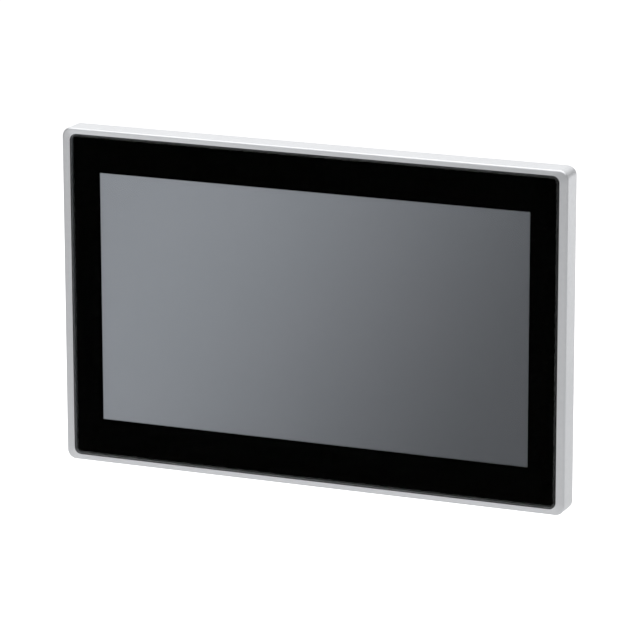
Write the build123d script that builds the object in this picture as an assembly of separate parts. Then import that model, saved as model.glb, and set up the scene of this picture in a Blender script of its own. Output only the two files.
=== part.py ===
"""A seven-inch touch panel for machine control, built for a cut-out in a cabinet door.

Millimetres. The front faces -Y, +Z is up and +X is to the right of someone facing the screen.
The origin is the middle of the front frame's rear face, which is the face that seals on the door.
Depths are Y values: negative ones are in front of the door, positive ones are inside the cabinet.
"""

from build123d import *
from math import cos, pi, sin
import os

# ---- Picture and cover glass ------------------------------------------------------------------
picture_width = 154.21
picture_height = 85.92
border_side = 10.7          # black border beside the picture
border_top = 13.35          # black border above and below the picture
glass_thickness = 1.8
glass_corner_radius = 2.3
glass_bevel_width = 0.7
glass_bevel_depth = 0.3
glass_proud = 0.35          # how far the glass stands in front of the frame
glass_gap = 0.15            # round the glass, in its pocket
film_thickness = 0.12
film_inset = 0.1            # from the glass's edge
film_reveal = 0.35          # the film's opening is this much wider than the picture, each side
tape_thickness = 0.6
tape_width = 5.2
tape_inset = 0.8
sensor_thickness = 0.45
sensor_gap = 0.4            # between the sensor's edge and the tape

# ---- Front frame ------------------------------------------------------------------------------
rim_side = 2.87             # metal beside the glass pocket
rim_top = 1.97              # metal above and below the glass pocket
frame_depth = 9.1
frame_corner_radius = 3.2
frame_front_fillet = 0.75
frame_rear_fillet = 0.6
door_overlap = 5.6          # how far the frame covers the door round the cut-out
spigot_clearance = 0.4      # between the spigot and the cut-out
spigot_length = 0.8
spigot_corner_radius = 2.5
gasket_width = 2.5
gasket_depth = 1.0
gasket_inset = 1.7          # from the frame's outer edge
gasket_gap = 0.08

# ---- Display module ---------------------------------------------------------------------------
display_margin_side = 3.1   # module's edge beyond the picture
display_margin_top = 4.8
display_thickness = 4.6
display_gap = 0.5           # between the module and the frame's window
display_shell = 0.4
display_lip = 1.9           # how far the shell's front lip laps over the cell
cell_thickness = 1.3
cushion_width = 1.7
cushion_thickness = 0.75
cushion_gap = 0.03
strip_width = 6.0
strip_inset = 6.5

# ---- Carrier plate and its fasteners ----------------------------------------------------------
plate_thickness = 1.0
plate_edge_gap = 0.1
plate_screw_radius = 1.0
plate_screw_length = 5.0
plate_screw_head_radius = 1.75
plate_screw_head_height = 1.3
plate_screw_row = 40.0      # between the screws of the top and bottom rows
plate_screw_side = 20.0     # between the two screws of each side
thread_fit = 0.02
board_standoff_length = 8.0
housing_standoff_length = 6.0
standoff_radius = 2.75
standoff_shank_radius = 2.1
m3_radius = 1.5
m3_clearance = 0.2

# ---- Rear housing -----------------------------------------------------------------------------
shelf_width = 10.3          # plate left bare beside the housing, where the clamps stand
shelf_height = 4.4          # plate left bare above and below the housing
housing_rear_room = 4.2     # between the tallest piece on the board and the rear wall
housing_wall = 1.8
housing_corner_radius = 4.0
housing_rear_fillet = 1.6
column_radius = 4.2
column_floor = 2.4
column_inset = 4.0          # from the cavity's walls to a column's axis
screw_head_radius = 2.8
screw_head_height = 2.2
screw_head_gap = 0.4
drive_span = 1.3            # a screw's cross recess, in parts of its head's radius
drive_width = 0.3
drive_depth = 0.4
housing_screw_length = 8.0
socket_clearance = 0.2      # round each connector, in the housing's wall
vent_width = 2.2
vent_end_radius = 1.0
vent_pitch = 4.4
vent_length_rear = 28.0
vent_length_top = 17.0
vent_count_rear = 12
vent_count_top = 22
rear_vent_x = -32.0
rear_vent_z = 18.0
label_width = 58.0
label_height = 30.0
label_thickness = 0.3
label_corner_radius = 1.5
label_x = -32.0
label_z = -23.0

# ---- Main board -------------------------------------------------------------------------------
board_thickness = 1.6
board_corner_radius = 1.0
board_side_gap = 9.2        # between the board's side edges and the cavity, clear of the columns
board_end_gap = 1.0
board_hole_side = 5.5       # from the board's side edge to a screw
board_hole_top = 7.2
board_hole_bottom = 21.2
board_screw_length = 6.0

processor_size = 23.0
processor_height = 1.9
pad_thickness = 0.6
pad_size = 20.0
sink_size = 42.0
sink_base = 3.0
sink_fin_height = 10.0
sink_fin_thickness = 1.3
sink_fin_count = 9
sink_x = -14.0
sink_z = 9.0
memory_size = 8.0
memory_length = 11.0
memory_height = 1.1
memory_reach_x = 17.0       # from the processor's centre to the chips' centres
memory_reach_z = 6.5
capacitor_radius = 4.0
capacitor_height = 10.0
capacitor_pitch = 10.5
capacitor_count = 4
capacitor_x = -42.0
capacitor_z = -22.5

# ---- Connectors on the lower edge: width, height off the board, depth into the housing ----------
power_size = (16.8, 9.4, 12.0)
serial_size = (30.8, 12.5, 11.0)
network_size = (16.0, 13.4, 16.0)
usb_size = (15.0, 15.6, 17.5)
reset_size = (5.6, 5.6, 6.0)
connector_wall = 0.8
power_ways = 3
power_pitch = 5.08
pin_size = 1.0
serial_shell_width = 16.9
serial_shell_height = 8.3
serial_shell_angle = 80.0
serial_shell_corner = 2.0
serial_shell_reach = 5.4    # how far the D-shaped shell stands out of its flange
serial_flange = 0.9
serial_pin_radius = 0.5
serial_pin_pitch = 2.77
serial_row_pitch = 2.84
jackscrew_spacing = 24.99
jackscrew_flats = 4.75
jackscrew_length = 5.0
jackscrew_hole_radius = 1.2
network_mouth_width = 11.8
network_mouth_height = 6.9
network_mouth_depth = 12.5
network_latch_width = 6.2
network_latch_height = 2.2
usb_mouth_width = 12.5
usb_mouth_height = 5.2
usb_mouth_depth = 10.0
usb_tongue_width = 11.1
usb_tongue_thickness = 1.8
usb_level_pitch = 7.2
button_radius = 1.3
button_clearance = 0.2
button_travel = 0.5
button_inset = 0.3          # the button's face lies this far inside the housing's face
button_depth = 4.0

# ---- Storage card -------------------------------------------------------------------------------
card_width = 24.0
card_length = 32.0
card_thickness = 2.1
card_clearance = 0.15
card_socket_length = 28.0
card_socket_wall = 0.5
card_z = 8.0
card_out = 4.5              # how far the card stands out of its socket at rest
card_slot_margin = 1.2
card_door_lap = 2.0
card_corner = 3.5

# ---- Service opening, coin cell and setting switches --------------------------------------------
service_x = 36.0
service_z = 10.0
service_width = 44.0
service_height = 34.0
service_lap = 2.6           # how far the door laps the wall round the opening
flap_thickness = 1.0
flap_gap = 0.2
knuckle_radius = 1.3
knuckle_gap = 0.2
hinge_pin_radius = 0.6
hinge_pin_clearance = 0.05
leaf_reach = 3.0
leaf_share = 0.4            # the flap's own knuckle, as a share of the flap's width
leaf_thickness = 1.1
tab_width = 8.0
tab_height = 1.2
cell_radius = 10.0
cell_height = 3.2
cell_edge = 0.4
cell_holder_wall = 1.1
cell_holder_floor = 0.8
cell_clearance = 0.15
cell_x = 10.0               # from the service opening's middle
switch_x = -13.0            # from the service opening's middle
switch_length = 9.8
switch_height = 3.6
switch_end = 0.8            # beside the outer sliders' pitch
switch_pitch = 2.54
switch_ways = 2
slider_width = 1.3
slider_length = 1.8
slider_height = 1.5
slider_travel = 1.8
slider_clearance = 0.08

# ---- Flexible tails and touch controller --------------------------------------------------------
display_tail_x = -16.0
display_tail_width = 34.0
display_tail_thickness = 0.3
display_tail_z = -32.0      # where it passes through the plate
display_tail_bond = 8.0     # length bonded to the display's rear
touch_tail_x = 18.0
touch_tail_width = 14.0
touch_tail_thickness = 0.2
tail_slot_clearance = 1.0
tail_bend = 0.8
controller_width = 22.0
controller_height = 13.0
controller_thickness = 1.0
controller_gap = 3.0
controller_rise = 0.76      # between the controller and the housing's lower wall
controller_chip = 7.0
controller_foot = 1.2

# ---- Earth stud ---------------------------------------------------------------------------------
earth_radius = 2.0
earth_length = 10.0
earth_relief_radius = 1.55   # the thread's run-out groove, behind the nut
earth_relief_length = 0.6
earth_nut_flats = 7.0
earth_nut_height = 3.2
earth_flange_radius = 4.2
earth_flange = 0.8
earth_tooth_count = 8
earth_tooth_radius = 0.5
earth_head_radius = 3.2
earth_head_height = 0.6
earth_clearance = 0.05

# ---- Swing clamps: a captive screw, a nut that it moves, and a lever that swings on the nut ------
clamp_from_end = 22.4       # from the plate's top and bottom edges to the clamps' axes
clamp_wall_gap = 0.6        # between the levers' hubs and the housing's sides
clamp_rest = 8.0            # the lever's foot, behind the door's front face, before it is tightened
clamp_travel = 6.0
clamp_screw_radius = 2.0
clamp_screw_tip_gap = 0.3
clamp_thread_clearance = 0.05
clamp_nut_radius = 2.9
clamp_nut_flange_radius = 3.7
clamp_nut_flange = 0.8
clamp_nut_lead = 0.3        # how far the nut's sleeve stands out of the lever's front
clamp_swing_clearance = 0.05
clamp_hub_radius = 4.0
clamp_arm_width = 6.4
clamp_arm_thickness = 3.4
clamp_arm_length = 12.0
clamp_foot_height = 0.6
clamp_foot_length = 4.0
clamp_collar_radius = 3.4
clamp_collar = 1.5
clamp_end_play = 0.1
clamp_journal_radius = 2.6
clamp_journal_clearance = 0.05
ear_radius = 4.2
ear_thickness = 3.0
ear_base_thickness = 1.2
ear_base_depth = 9.0        # along the housing's side
rivet_radius = 1.3
rivet_head = 0.6
rivet_spacing = 4.4
clamp_key_flats = 2.5
clamp_key_depth = 2.2

# ---- Worked out from the sizes above ------------------------------------------------------------
glass_width = picture_width + 2 * border_side
glass_height = picture_height + 2 * border_top
pocket_width = glass_width + 2 * glass_gap
pocket_height = glass_height + 2 * glass_gap
frame_width = pocket_width + 2 * rim_side
frame_height = pocket_height + 2 * rim_top
cutout_width = frame_width - 2 * door_overlap
cutout_height = frame_height - 2 * door_overlap
spigot_width = cutout_width - 2 * spigot_clearance
spigot_height = cutout_height - 2 * spigot_clearance
display_width = picture_width + 2 * display_margin_side
display_height = picture_height + 2 * display_margin_top
window_width = display_width + 2 * display_gap
window_height = display_height + 2 * display_gap

frame_front = -frame_depth
glass_front = frame_front - glass_proud
glass_rear = glass_front + glass_thickness
film_rear = glass_rear + film_thickness
ledge = film_rear + tape_thickness
sensor_rear = film_rear + sensor_thickness
plate_front = spigot_length
plate_rear = plate_front + plate_thickness
display_front = sensor_rear + cushion_gap + cushion_thickness
display_rear = display_front + display_thickness
cell_front = display_front + display_shell
cell_rear = cell_front + cell_thickness

plate_width = spigot_width - 2 * plate_edge_gap
plate_height = spigot_height - 2 * plate_edge_gap
housing_width = spigot_width - 2 * shelf_width
housing_height = spigot_height - 2 * shelf_height
cavity_width = housing_width - 2 * housing_wall
cavity_height = housing_height - 2 * housing_wall
column_x = cavity_width / 2 - column_inset
column_z = cavity_height / 2 - column_inset
column_front = plate_rear + housing_standoff_length
column_seat = column_front + column_floor

board_front = plate_rear + board_standoff_length
board_rear = board_front + board_thickness
sink_front = board_rear + processor_height + pad_thickness
sink_rear = sink_front + sink_base + sink_fin_height
board_width = cavity_width - 2 * board_side_gap
board_height = cavity_height - 2 * board_end_gap
board_holes = [
    (x, z)
    for x in (board_hole_side - board_width / 2, 0, board_width / 2 - board_hole_side)
    for z in (board_height / 2 - board_hole_top, board_hole_bottom - board_height / 2)
]
floor_outside = -housing_height / 2
floor_inside = -cavity_height / 2
touch_tail_z = floor_inside + controller_rise + controller_height / 2

# Connectors stand in one row with equal gaps between them, across the board's width.
connector_row = [power_size, serial_size, network_size, network_size, usb_size, reset_size]
tallest = max(sink_rear, board_rear + max(size[1] for size in connector_row))
cavity_rear = tallest + housing_rear_room
housing_rear = cavity_rear + housing_wall
row_gap = (board_width - sum(size[0] for size in connector_row)) / (len(connector_row) + 1)
row_x = [
    -board_width / 2
    + (place + 1) * row_gap
    + sum(size[0] for size in connector_row[:place])
    + connector_row[place][0] / 2
    for place in range(len(connector_row))
]
power_x, serial_x, network_left_x, network_right_x, usb_x, reset_x = row_x

card_y = board_rear + card_socket_wall + card_clearance + card_thickness / 2
card_end = -cavity_width / 2 + card_out
card_door_width = card_width + 2 * card_slot_margin + 2 * card_door_lap
card_slot_height = card_thickness + 2 * card_slot_margin
card_door_height = card_slot_height + 2 * card_door_lap
service_door_width = service_width + 2 * service_lap
service_door_height = service_height + 2 * service_lap
hinge_height = knuckle_gap + knuckle_radius
earth_nut_rear = plate_rear + earth_flange + earth_nut_height

clamp_x = housing_width / 2 + clamp_hub_radius + clamp_wall_gap
clamp_z = plate_height / 2 - clamp_from_end
arm_front = clamp_rest + clamp_foot_height
arm_rear = arm_front + clamp_arm_thickness
nut_flange_front = arm_rear + clamp_swing_clearance
nut_rear = nut_flange_front + clamp_nut_flange
collar_front = nut_rear + 2 * clamp_end_play
collar_rear = collar_front + clamp_collar
ear_front = collar_rear + clamp_end_play
ear_rear = ear_front + ear_thickness
# Numbered clockwise as seen from the front. The side is +1 on the right and -1 on the left.
clamps = [(1, clamp_z), (1, -clamp_z), (-1, -clamp_z), (-1, clamp_z)]


# ---- Shapes used by many pieces -----------------------------------------------------------------
def plate(width, height, front, rear, x=0, z=0, radius=0):
    """A flat piece parallel to the door, from its front plane to its rear plane."""
    outline = RectangleRounded(width, height, radius) if radius else Rectangle(width, height)
    return extrude(Plane.XZ.offset(-rear) * Pos(x, z) * outline, amount=rear - front)


def rod(radius, front, rear, x=0, z=0):
    """A round piece whose axis runs front to back."""
    return extrude(Plane.XZ.offset(-rear) * Pos(x, z) * Circle(radius), amount=rear - front)


def prism(flats, front, rear, x=0, z=0):
    """A hexagonal piece whose axis runs front to back, by its width across flats."""
    outline = RegularPolygon(flats / 2, 6, major_radius=False)
    return extrude(Plane.XZ.offset(-rear) * Pos(x, z) * outline, amount=rear - front)


def block(x_range, y_range, z_range):
    """A box between two X, two Y and two Z values."""
    middle = [sum(pair) / 2 for pair in (x_range, y_range, z_range)]
    size = [pair[1] - pair[0] for pair in (x_range, y_range, z_range)]
    return Pos(*middle) * Box(*size)


def centred(middle, size):
    """The two ends of a length about its middle."""
    return middle - size / 2, middle + size / 2


def group(pieces):
    """Like pieces kept as separate solids in one node."""
    return Part() + list(pieces)


def mirrored_pair(make):
    """The same piece on the left and on the right."""
    return [make(-1), make(1)]


# ---- Front: frame, glass, film, sensor, seals ---------------------------------------------------
def plate_screw_places():
    x_edge = (window_width / 2 + spigot_width / 2) / 2
    z_edge = (window_height / 2 + spigot_height / 2) / 2
    rows = [(x * plate_screw_row, z) for x in (-1.5, -0.5, 0.5, 1.5) for z in (-z_edge, z_edge)]
    sides = [(x, z) for x in (-x_edge, x_edge) for z in (-plate_screw_side / 2, plate_screw_side / 2)]
    return rows + sides


def front_bezel():
    body = plate(frame_width, frame_height, frame_front, 0, radius=frame_corner_radius)
    faces = body.faces().sort_by(Axis.Y)
    body = fillet(faces[0].edges(), frame_front_fillet)
    body = fillet(body.faces().sort_by(Axis.Y)[-1].edges(), frame_rear_fillet)
    body += plate(spigot_width, spigot_height, 0, spigot_length, radius=spigot_corner_radius)
    pocket_radius = glass_corner_radius + glass_gap
    body -= plate(pocket_width, pocket_height, frame_front - 1, ledge, radius=pocket_radius)
    body -= plate(window_width, window_height, ledge - 1, spigot_length + 1)
    body -= gasket_ring(0, -gasket_depth)
    hole_end = plate_rear - plate_screw_length - thread_fit
    body -= [rod(plate_screw_radius + thread_fit, hole_end, spigot_length + 1, x, z)
             for x, z in plate_screw_places()]
    return body


def gasket_ring(gap, front):
    """The seal's ring, smaller than its groove by the gap on every side."""
    outer_width = frame_width - 2 * (gasket_inset + gap)
    outer_height = frame_height - 2 * (gasket_inset + gap)
    inner_width = frame_width - 2 * (gasket_inset + gasket_width - gap)
    inner_height = frame_height - 2 * (gasket_inset + gasket_width - gap)
    radius = frame_corner_radius - gasket_inset
    ring = plate(outer_width, outer_height, front, 0, radius=radius - gap)
    return ring - plate(inner_width, inner_height, front - 1, 1, radius=radius / 2)


def panel_gasket():
    return gasket_ring(gasket_gap, -gasket_depth)


def cover_glass():
    glass = plate(glass_width, glass_height, glass_front, glass_rear, radius=glass_corner_radius)
    face = glass.faces().sort_by(Axis.Y)[0]
    return chamfer(face.edges(), glass_bevel_depth, glass_bevel_width, reference=face)


def border_film():
    film = plate(glass_width - 2 * film_inset, glass_height - 2 * film_inset,
                 glass_rear, film_rear, radius=glass_corner_radius - film_inset)
    return film - film_opening(glass_rear - 1, film_rear + 1)


def film_opening(front, rear):
    return plate(picture_width + 2 * film_reveal, picture_height + 2 * film_reveal, front, rear)


def optical_adhesive():
    return film_opening(glass_rear, film_rear)


def glass_tape():
    width = glass_width - 2 * tape_inset
    height = glass_height - 2 * tape_inset
    ring = plate(width, height, film_rear, ledge, radius=glass_corner_radius - tape_inset)
    return ring - plate(width - 2 * tape_width, height - 2 * tape_width, film_rear - 1, ledge + 1)


def touch_sensor():
    shrink = 2 * (tape_inset + tape_width + sensor_gap)
    return plate(glass_width - shrink, glass_height - shrink, film_rear, sensor_rear)


# ---- Display module -----------------------------------------------------------------------------
def lcd_cushion():
    front = sensor_rear + cushion_gap
    ring = plate(display_width, display_height, front, display_front)
    return ring - plate(display_width - 2 * cushion_width, display_height - 2 * cushion_width,
                        front - 1, display_front + 1)


def lcd_frame():
    body = plate(display_width, display_height, display_front, display_rear - display_shell)
    body -= plate(display_width - 2 * display_shell, display_height - 2 * display_shell,
                  cell_front, display_rear + 1)
    return body - plate(display_width - 2 * display_lip, display_height - 2 * display_lip,
                        display_front - 1, cell_front + 1)


def display_layer(front, rear):
    """A layer that fills the display's metal shell, with a hair of room round it."""
    gap = 2 * (display_shell + cushion_gap)
    return plate(display_width - gap, display_height - gap, front, rear)


def lcd_cell():
    return display_layer(cell_front, cell_rear)


def backlight():
    return display_layer(cell_rear, display_rear - display_shell)


def lcd_rear_tray():
    return plate(display_width, display_height, display_rear - display_shell, display_rear)


def lcd_support_strips():
    """Two soft strips that press the display forward, off the carrier plate."""
    x_place = display_width / 2 - strip_inset
    length = display_height - 2 * strip_inset
    return group(mirrored_pair(
        lambda side: plate(strip_width, length, display_rear, plate_front, side * x_place)))


# ---- Carrier plate, fasteners, earth stud --------------------------------------------------------
def carrier_plate():
    body = plate(plate_width, plate_height, plate_front, plate_rear, radius=spigot_corner_radius)
    body -= [rod(plate_screw_radius + thread_fit, 0, plate_rear + 1, x, z)
             for x, z in plate_screw_places()]
    body -= [rod(standoff_shank_radius + thread_fit, 0, plate_rear + 1, x, z)
             for x, z in board_holes + column_places()]
    body -= rod(earth_radius + thread_fit, 0, plate_rear + 1, clamp_x, 0)
    body -= rod(earth_head_radius + thread_fit, 0, plate_front + earth_head_height, clamp_x, 0)
    for x, z, width in ((display_tail_x, display_tail_z, display_tail_width),
                        (touch_tail_x, touch_tail_z, touch_tail_width)):
        slot_width = width + 2 * tail_slot_clearance
        body -= plate(slot_width, 2 * tail_slot_clearance, 0, plate_rear + 1, x, z)
    return body


def column_places():
    return [(x, z) for x in (-column_x, column_x) for z in (-column_z, column_z)]


def plate_screws():
    return group(
        rod(plate_screw_radius, plate_rear - plate_screw_length, plate_rear, x, z)
        + rod(plate_screw_head_radius, plate_rear, plate_rear + plate_screw_head_height, x, z)
        - drive_slot(plate_rear + plate_screw_head_height, plate_screw_head_radius, x, z)
        for x, z in plate_screw_places())


def drive_slot(head_rear, head_radius, x, z):
    """The cross recess in a screw's head."""
    long, short = drive_span * head_radius, drive_width * head_radius
    depth = drive_depth * head_radius
    return (plate(long, short, head_rear - depth, head_rear + 1, x, z)
            + plate(short, long, head_rear - depth, head_rear + 1, x, z))


def standoffs():
    """Threaded pillars pressed into the carrier plate, long ones for the board, short ones for the housing."""
    def pillar(length, x, z):
        body = rod(standoff_radius, plate_rear, plate_rear + length, x, z)
        body += rod(standoff_shank_radius, plate_front, plate_rear, x, z)
        return body - rod(m3_radius + thread_fit, plate_rear, plate_rear + length + 1, x, z)

    long_ones = [pillar(board_standoff_length, x, z) for x, z in board_holes]
    short_ones = [pillar(housing_standoff_length, x, z) for x, z in column_places()]
    return group(long_ones + short_ones)


def earth_stud():
    """A stud pressed into the carrier plate, its head flush with the plate's front."""
    body = rod(earth_head_radius, plate_front, plate_front + earth_head_height, clamp_x, 0)
    body += rod(earth_radius, plate_front, plate_front + earth_length, clamp_x, 0)
    relief = rod(earth_radius + 1, earth_nut_rear, earth_nut_rear + earth_relief_length, clamp_x, 0)
    return body - (relief - rod(earth_relief_radius, plate_rear, earth_nut_rear + 1, clamp_x, 0))


def earth_nut():
    """A hexagonal nut on a flange whose rim is toothed."""
    nut = rod(earth_flange_radius, plate_rear, plate_rear + earth_flange, clamp_x, 0)
    turn = 2 * pi / earth_tooth_count
    nut -= [rod(earth_tooth_radius, 0, plate_rear + earth_flange + 1,
                clamp_x + earth_flange_radius * cos(tooth * turn), earth_flange_radius * sin(tooth * turn))
            for tooth in range(earth_tooth_count)]
    nut += prism(earth_nut_flats, plate_rear + earth_flange, earth_nut_rear, clamp_x, 0)
    return nut - rod(earth_radius + earth_clearance, 0, earth_nut_rear + 1, clamp_x, 0)


# ---- Flaps: a moulded door, its hinge and the seat for it in a wall -------------------------------
# Drawn lying on a wall's outside face: X along the hinge, -Y towards the free edge, +Z outwards.
def knuckle(radius, x_from, x_to):
    place = Plane(origin=(x_from, hinge_height, hinge_height), x_dir=(0, 1, 0), z_dir=(1, 0, 0))
    return extrude(place * Circle(radius), amount=x_to - x_from)


def flap(width, height):
    half = leaf_share * width / 2
    body = block((-width / 2, width / 2), (-height, 0), (-flap_thickness, 0))
    body += knuckle(knuckle_radius, -half, half)
    body += block((-half, half), (-leaf_reach, hinge_height), (knuckle_gap, knuckle_gap + leaf_thickness))
    body += block((-half, half), (-leaf_reach, -leaf_reach / 2), (-flap_thickness / 2, leaf_thickness))
    body += knuckle(hinge_pin_radius, -half - knuckle_radius, half + knuckle_radius)
    edge = -height + tab_height
    return body + block((-tab_width / 2, tab_width / 2), (-height, edge), (-flap_thickness / 2, tab_height))


def flap_seat(width, height):
    """What the wall loses: a rebate as deep as the flap, so that the flap closes flush."""
    return block((-width / 2 - flap_gap, width / 2 + flap_gap), (-height - flap_gap, flap_gap),
                 (-flap_thickness, 1))


def flap_knuckles(width):
    """What the wall gains: a knuckle at each end of the flap's own, bored for its pin."""
    start = leaf_share * width / 2 + knuckle_gap
    end = start + 2 * knuckle_radius
    body = Part()
    for side in (-1, 1):
        x_range = sorted((side * start, side * end))
        body += knuckle(knuckle_radius, *x_range)
        body += block(x_range, (2 * flap_gap, hinge_height + knuckle_radius), (-flap_thickness / 2, hinge_height))
    return body - knuckle(hinge_pin_radius + hinge_pin_clearance, -end - 1, end + 1)


service_place = Plane(origin=(service_x, housing_rear, service_z + service_door_height / 2),
                      x_dir=(-1, 0, 0), z_dir=(0, 1, 0))
card_place = Plane(origin=(-housing_width / 2, card_y + card_door_height / 2, card_z),
                   x_dir=(0, 0, 1), z_dir=(-1, 0, 0))


def service_door():
    return service_place * flap(service_door_width, service_door_height)


def card_door():
    return card_place * flap(card_door_width, card_door_height)


# ---- Rear housing ---------------------------------------------------------------------------------
def rear_housing():
    body = plate(housing_width, housing_height, plate_rear, housing_rear, radius=housing_corner_radius)
    body = fillet(body.faces().sort_by(Axis.Y)[-1].edges(), housing_rear_fillet)
    inner_radius = housing_corner_radius - housing_wall
    body -= plate(cavity_width, cavity_height, plate_rear - 1, cavity_rear, radius=inner_radius)
    body += [rod(column_radius, column_front, cavity_rear, x, z) for x, z in column_places()]
    body -= [rod(screw_head_radius + screw_head_gap, column_seat, housing_rear + 1, x, z)
             for x, z in column_places()]
    body -= [rod(m3_radius + m3_clearance, column_front - 1, housing_rear, x, z)
             for x, z in column_places()]
    body -= connector_openings()
    body -= vents()
    body -= service_place * flap_seat(service_door_width, service_door_height)
    body -= card_place * flap_seat(card_door_width, card_door_height)
    body -= plate(service_width, service_height, cavity_rear - 1, housing_rear, service_x, service_z)
    card_slot = centred(card_z, card_width + 2 * card_slot_margin)
    body -= block((-housing_width / 2, 1 - cavity_width / 2), centred(card_y, card_slot_height), card_slot)
    body += service_place * flap_knuckles(service_door_width)
    return body + card_place * flap_knuckles(card_door_width)


def connector_openings():
    """Holes in the lower wall, each as large as its connector and the clearance round it."""
    through = (floor_outside - 1, floor_inside + 1)
    reach = through[1] - through[0]
    holes = []
    for x, size in ((power_x, power_size), (network_left_x, network_size),
                    (network_right_x, network_size), (usb_x, usb_size)):
        height = (board_rear - socket_clearance, board_rear + size[1] + socket_clearance)
        holes.append(block(centred(x, size[0] + 2 * socket_clearance), height, through))
    shell_y = board_rear + serial_size[1] / 2
    holes.append(block(centred(serial_x, serial_shell_width + 2 * socket_clearance),
                       centred(shell_y, serial_shell_height + 2 * socket_clearance), through))
    for side in (-1, 1):
        place = Plane(origin=(serial_x + side * jackscrew_spacing / 2, shell_y, through[0]))
        holes.append(extrude(place * Circle(jackscrew_hole_radius + socket_clearance), amount=reach))
    button = Plane(origin=(reset_x, board_rear + reset_size[1] / 2, through[0]))
    holes.append(extrude(button * Circle(button_radius + button_clearance), amount=reach))
    return holes


def vents():
    """Slots over the heat sink in the rear wall, and a row along the top wall."""
    slots = []
    for place in range(vent_count_rear):
        x = rear_vent_x + (place - (vent_count_rear - 1) / 2) * vent_pitch
        slots.append(plate(vent_width, vent_length_rear, cavity_rear - 1, housing_rear + 1, x,
                           rear_vent_z, radius=vent_end_radius))
    depth = centred((column_front + cavity_rear) / 2, vent_length_top)
    for place in range(vent_count_top):
        x = (place - (vent_count_top - 1) / 2) * vent_pitch
        slots.append(block(centred(x, vent_width), depth, (cavity_height / 2 - 1, housing_height / 2 + 1)))
    return slots


def housing_screws():
    return group(
        rod(m3_radius, column_seat - housing_screw_length, column_seat, x, z)
        + rod(screw_head_radius, column_seat, column_seat + screw_head_height, x, z)
        - drive_slot(column_seat + screw_head_height, screw_head_radius, x, z)
        for x, z in column_places())


def rating_plate():
    return plate(label_width, label_height, housing_rear, housing_rear + label_thickness,
                 label_x, label_z, radius=label_corner_radius)


# ---- Main board and what stands on it -------------------------------------------------------------
def main_board():
    body = plate(board_width, board_height, board_front, board_rear, radius=board_corner_radius)
    return body - [rod(m3_radius + m3_clearance, board_front - 1, board_rear + 1, x, z)
                   for x, z in board_holes]


def board_screws():
    return group(
        rod(m3_radius, board_rear - board_screw_length, board_rear, x, z)
        + rod(screw_head_radius, board_rear, board_rear + screw_head_height, x, z)
        - drive_slot(board_rear + screw_head_height, screw_head_radius, x, z)
        for x, z in board_holes)


def processor():
    return plate(processor_size, processor_size, board_rear, board_rear + processor_height, sink_x, sink_z)


def thermal_pad():
    return plate(pad_size, pad_size, sink_front - pad_thickness, sink_front, sink_x, sink_z)


def heat_sink():
    body = plate(sink_size, sink_size, sink_front, sink_front + sink_base, sink_x, sink_z)
    pitch = (sink_size - sink_fin_thickness) / (sink_fin_count - 1)
    for fin in range(sink_fin_count):
        x = sink_x + (fin - (sink_fin_count - 1) / 2) * pitch
        body += plate(sink_fin_thickness, sink_size, sink_front + sink_base, sink_rear, x, sink_z)
    return body


def memory_chips():
    return group(
        plate(memory_size, memory_length, board_rear, board_rear + memory_height,
              sink_x + x * memory_reach_x, sink_z + z * memory_reach_z)
        for x in (-1, 1) for z in (-1, 1))


def capacitors():
    return group(
        rod(capacitor_radius, board_rear, board_rear + capacitor_height,
            capacitor_x + place * capacitor_pitch, capacitor_z)
        for place in range(capacitor_count))


def connector_body(x, size, top=None):
    """A connector's block: its mouth is level with the housing's outside."""
    low = floor_outside if top is None else top
    return block(centred(x, size[0]), (board_rear, board_rear + size[1]), (low, floor_outside + size[2]))


def power_header():
    body = connector_body(power_x, power_size)
    depth = power_size[2] - 2 * connector_wall
    middle = board_rear + power_size[1] / 2
    body -= block(centred(power_x, power_size[0] - 2 * connector_wall),
                  centred(middle, power_size[1] - 2 * connector_wall),
                  (floor_outside - 1, floor_outside + depth))
    for way in range(power_ways):
        x = power_x + (way - (power_ways - 1) / 2) * power_pitch
        body += block(centred(x, pin_size), centred(middle, pin_size),
                      (floor_outside + connector_wall, floor_outside + depth + connector_wall / 2))
    return body


def d_outline(x, y, z, grow):
    """The D-shaped outline of a serial connector's shell."""
    outline = Trapezoid(serial_shell_width + 2 * grow, serial_shell_height + 2 * grow, serial_shell_angle)
    outline = fillet(outline.vertices(), serial_shell_corner)
    return Plane(origin=(x, y, z), x_dir=(1, 0, 0), z_dir=(0, 0, -1)) * outline


def serial_socket():
    flange_top = floor_inside + serial_flange
    y = board_rear + serial_size[1] / 2
    body = block(centred(serial_x, serial_size[0]), (board_rear, board_rear + serial_size[1]),
                 (floor_inside, flange_top))
    body += block(centred(serial_x, serial_shell_width), centred(y, serial_shell_height),
                  (flange_top, floor_outside + serial_size[2]))
    body += extrude(d_outline(serial_x, y, floor_inside, 0), amount=serial_shell_reach)
    body -= extrude(d_outline(serial_x, y, floor_inside, -connector_wall / 2), amount=serial_shell_reach + 1)
    for row, ways in ((0.5, 5), (-0.5, 4)):
        for way in range(ways):
            x = serial_x + (way - (ways - 1) / 2) * serial_pin_pitch
            pin = Plane(origin=(x, y - row * serial_row_pitch, flange_top), z_dir=(0, 0, -1))
            body += extrude(pin * Circle(serial_pin_radius), amount=serial_shell_reach)
    for side in (-1, 1):
        place = Plane(origin=(serial_x + side * jackscrew_spacing / 2, y, floor_inside - 1))
        body -= extrude(place * Circle(jackscrew_hole_radius + thread_fit), amount=serial_flange + 2)
    return body


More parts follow.
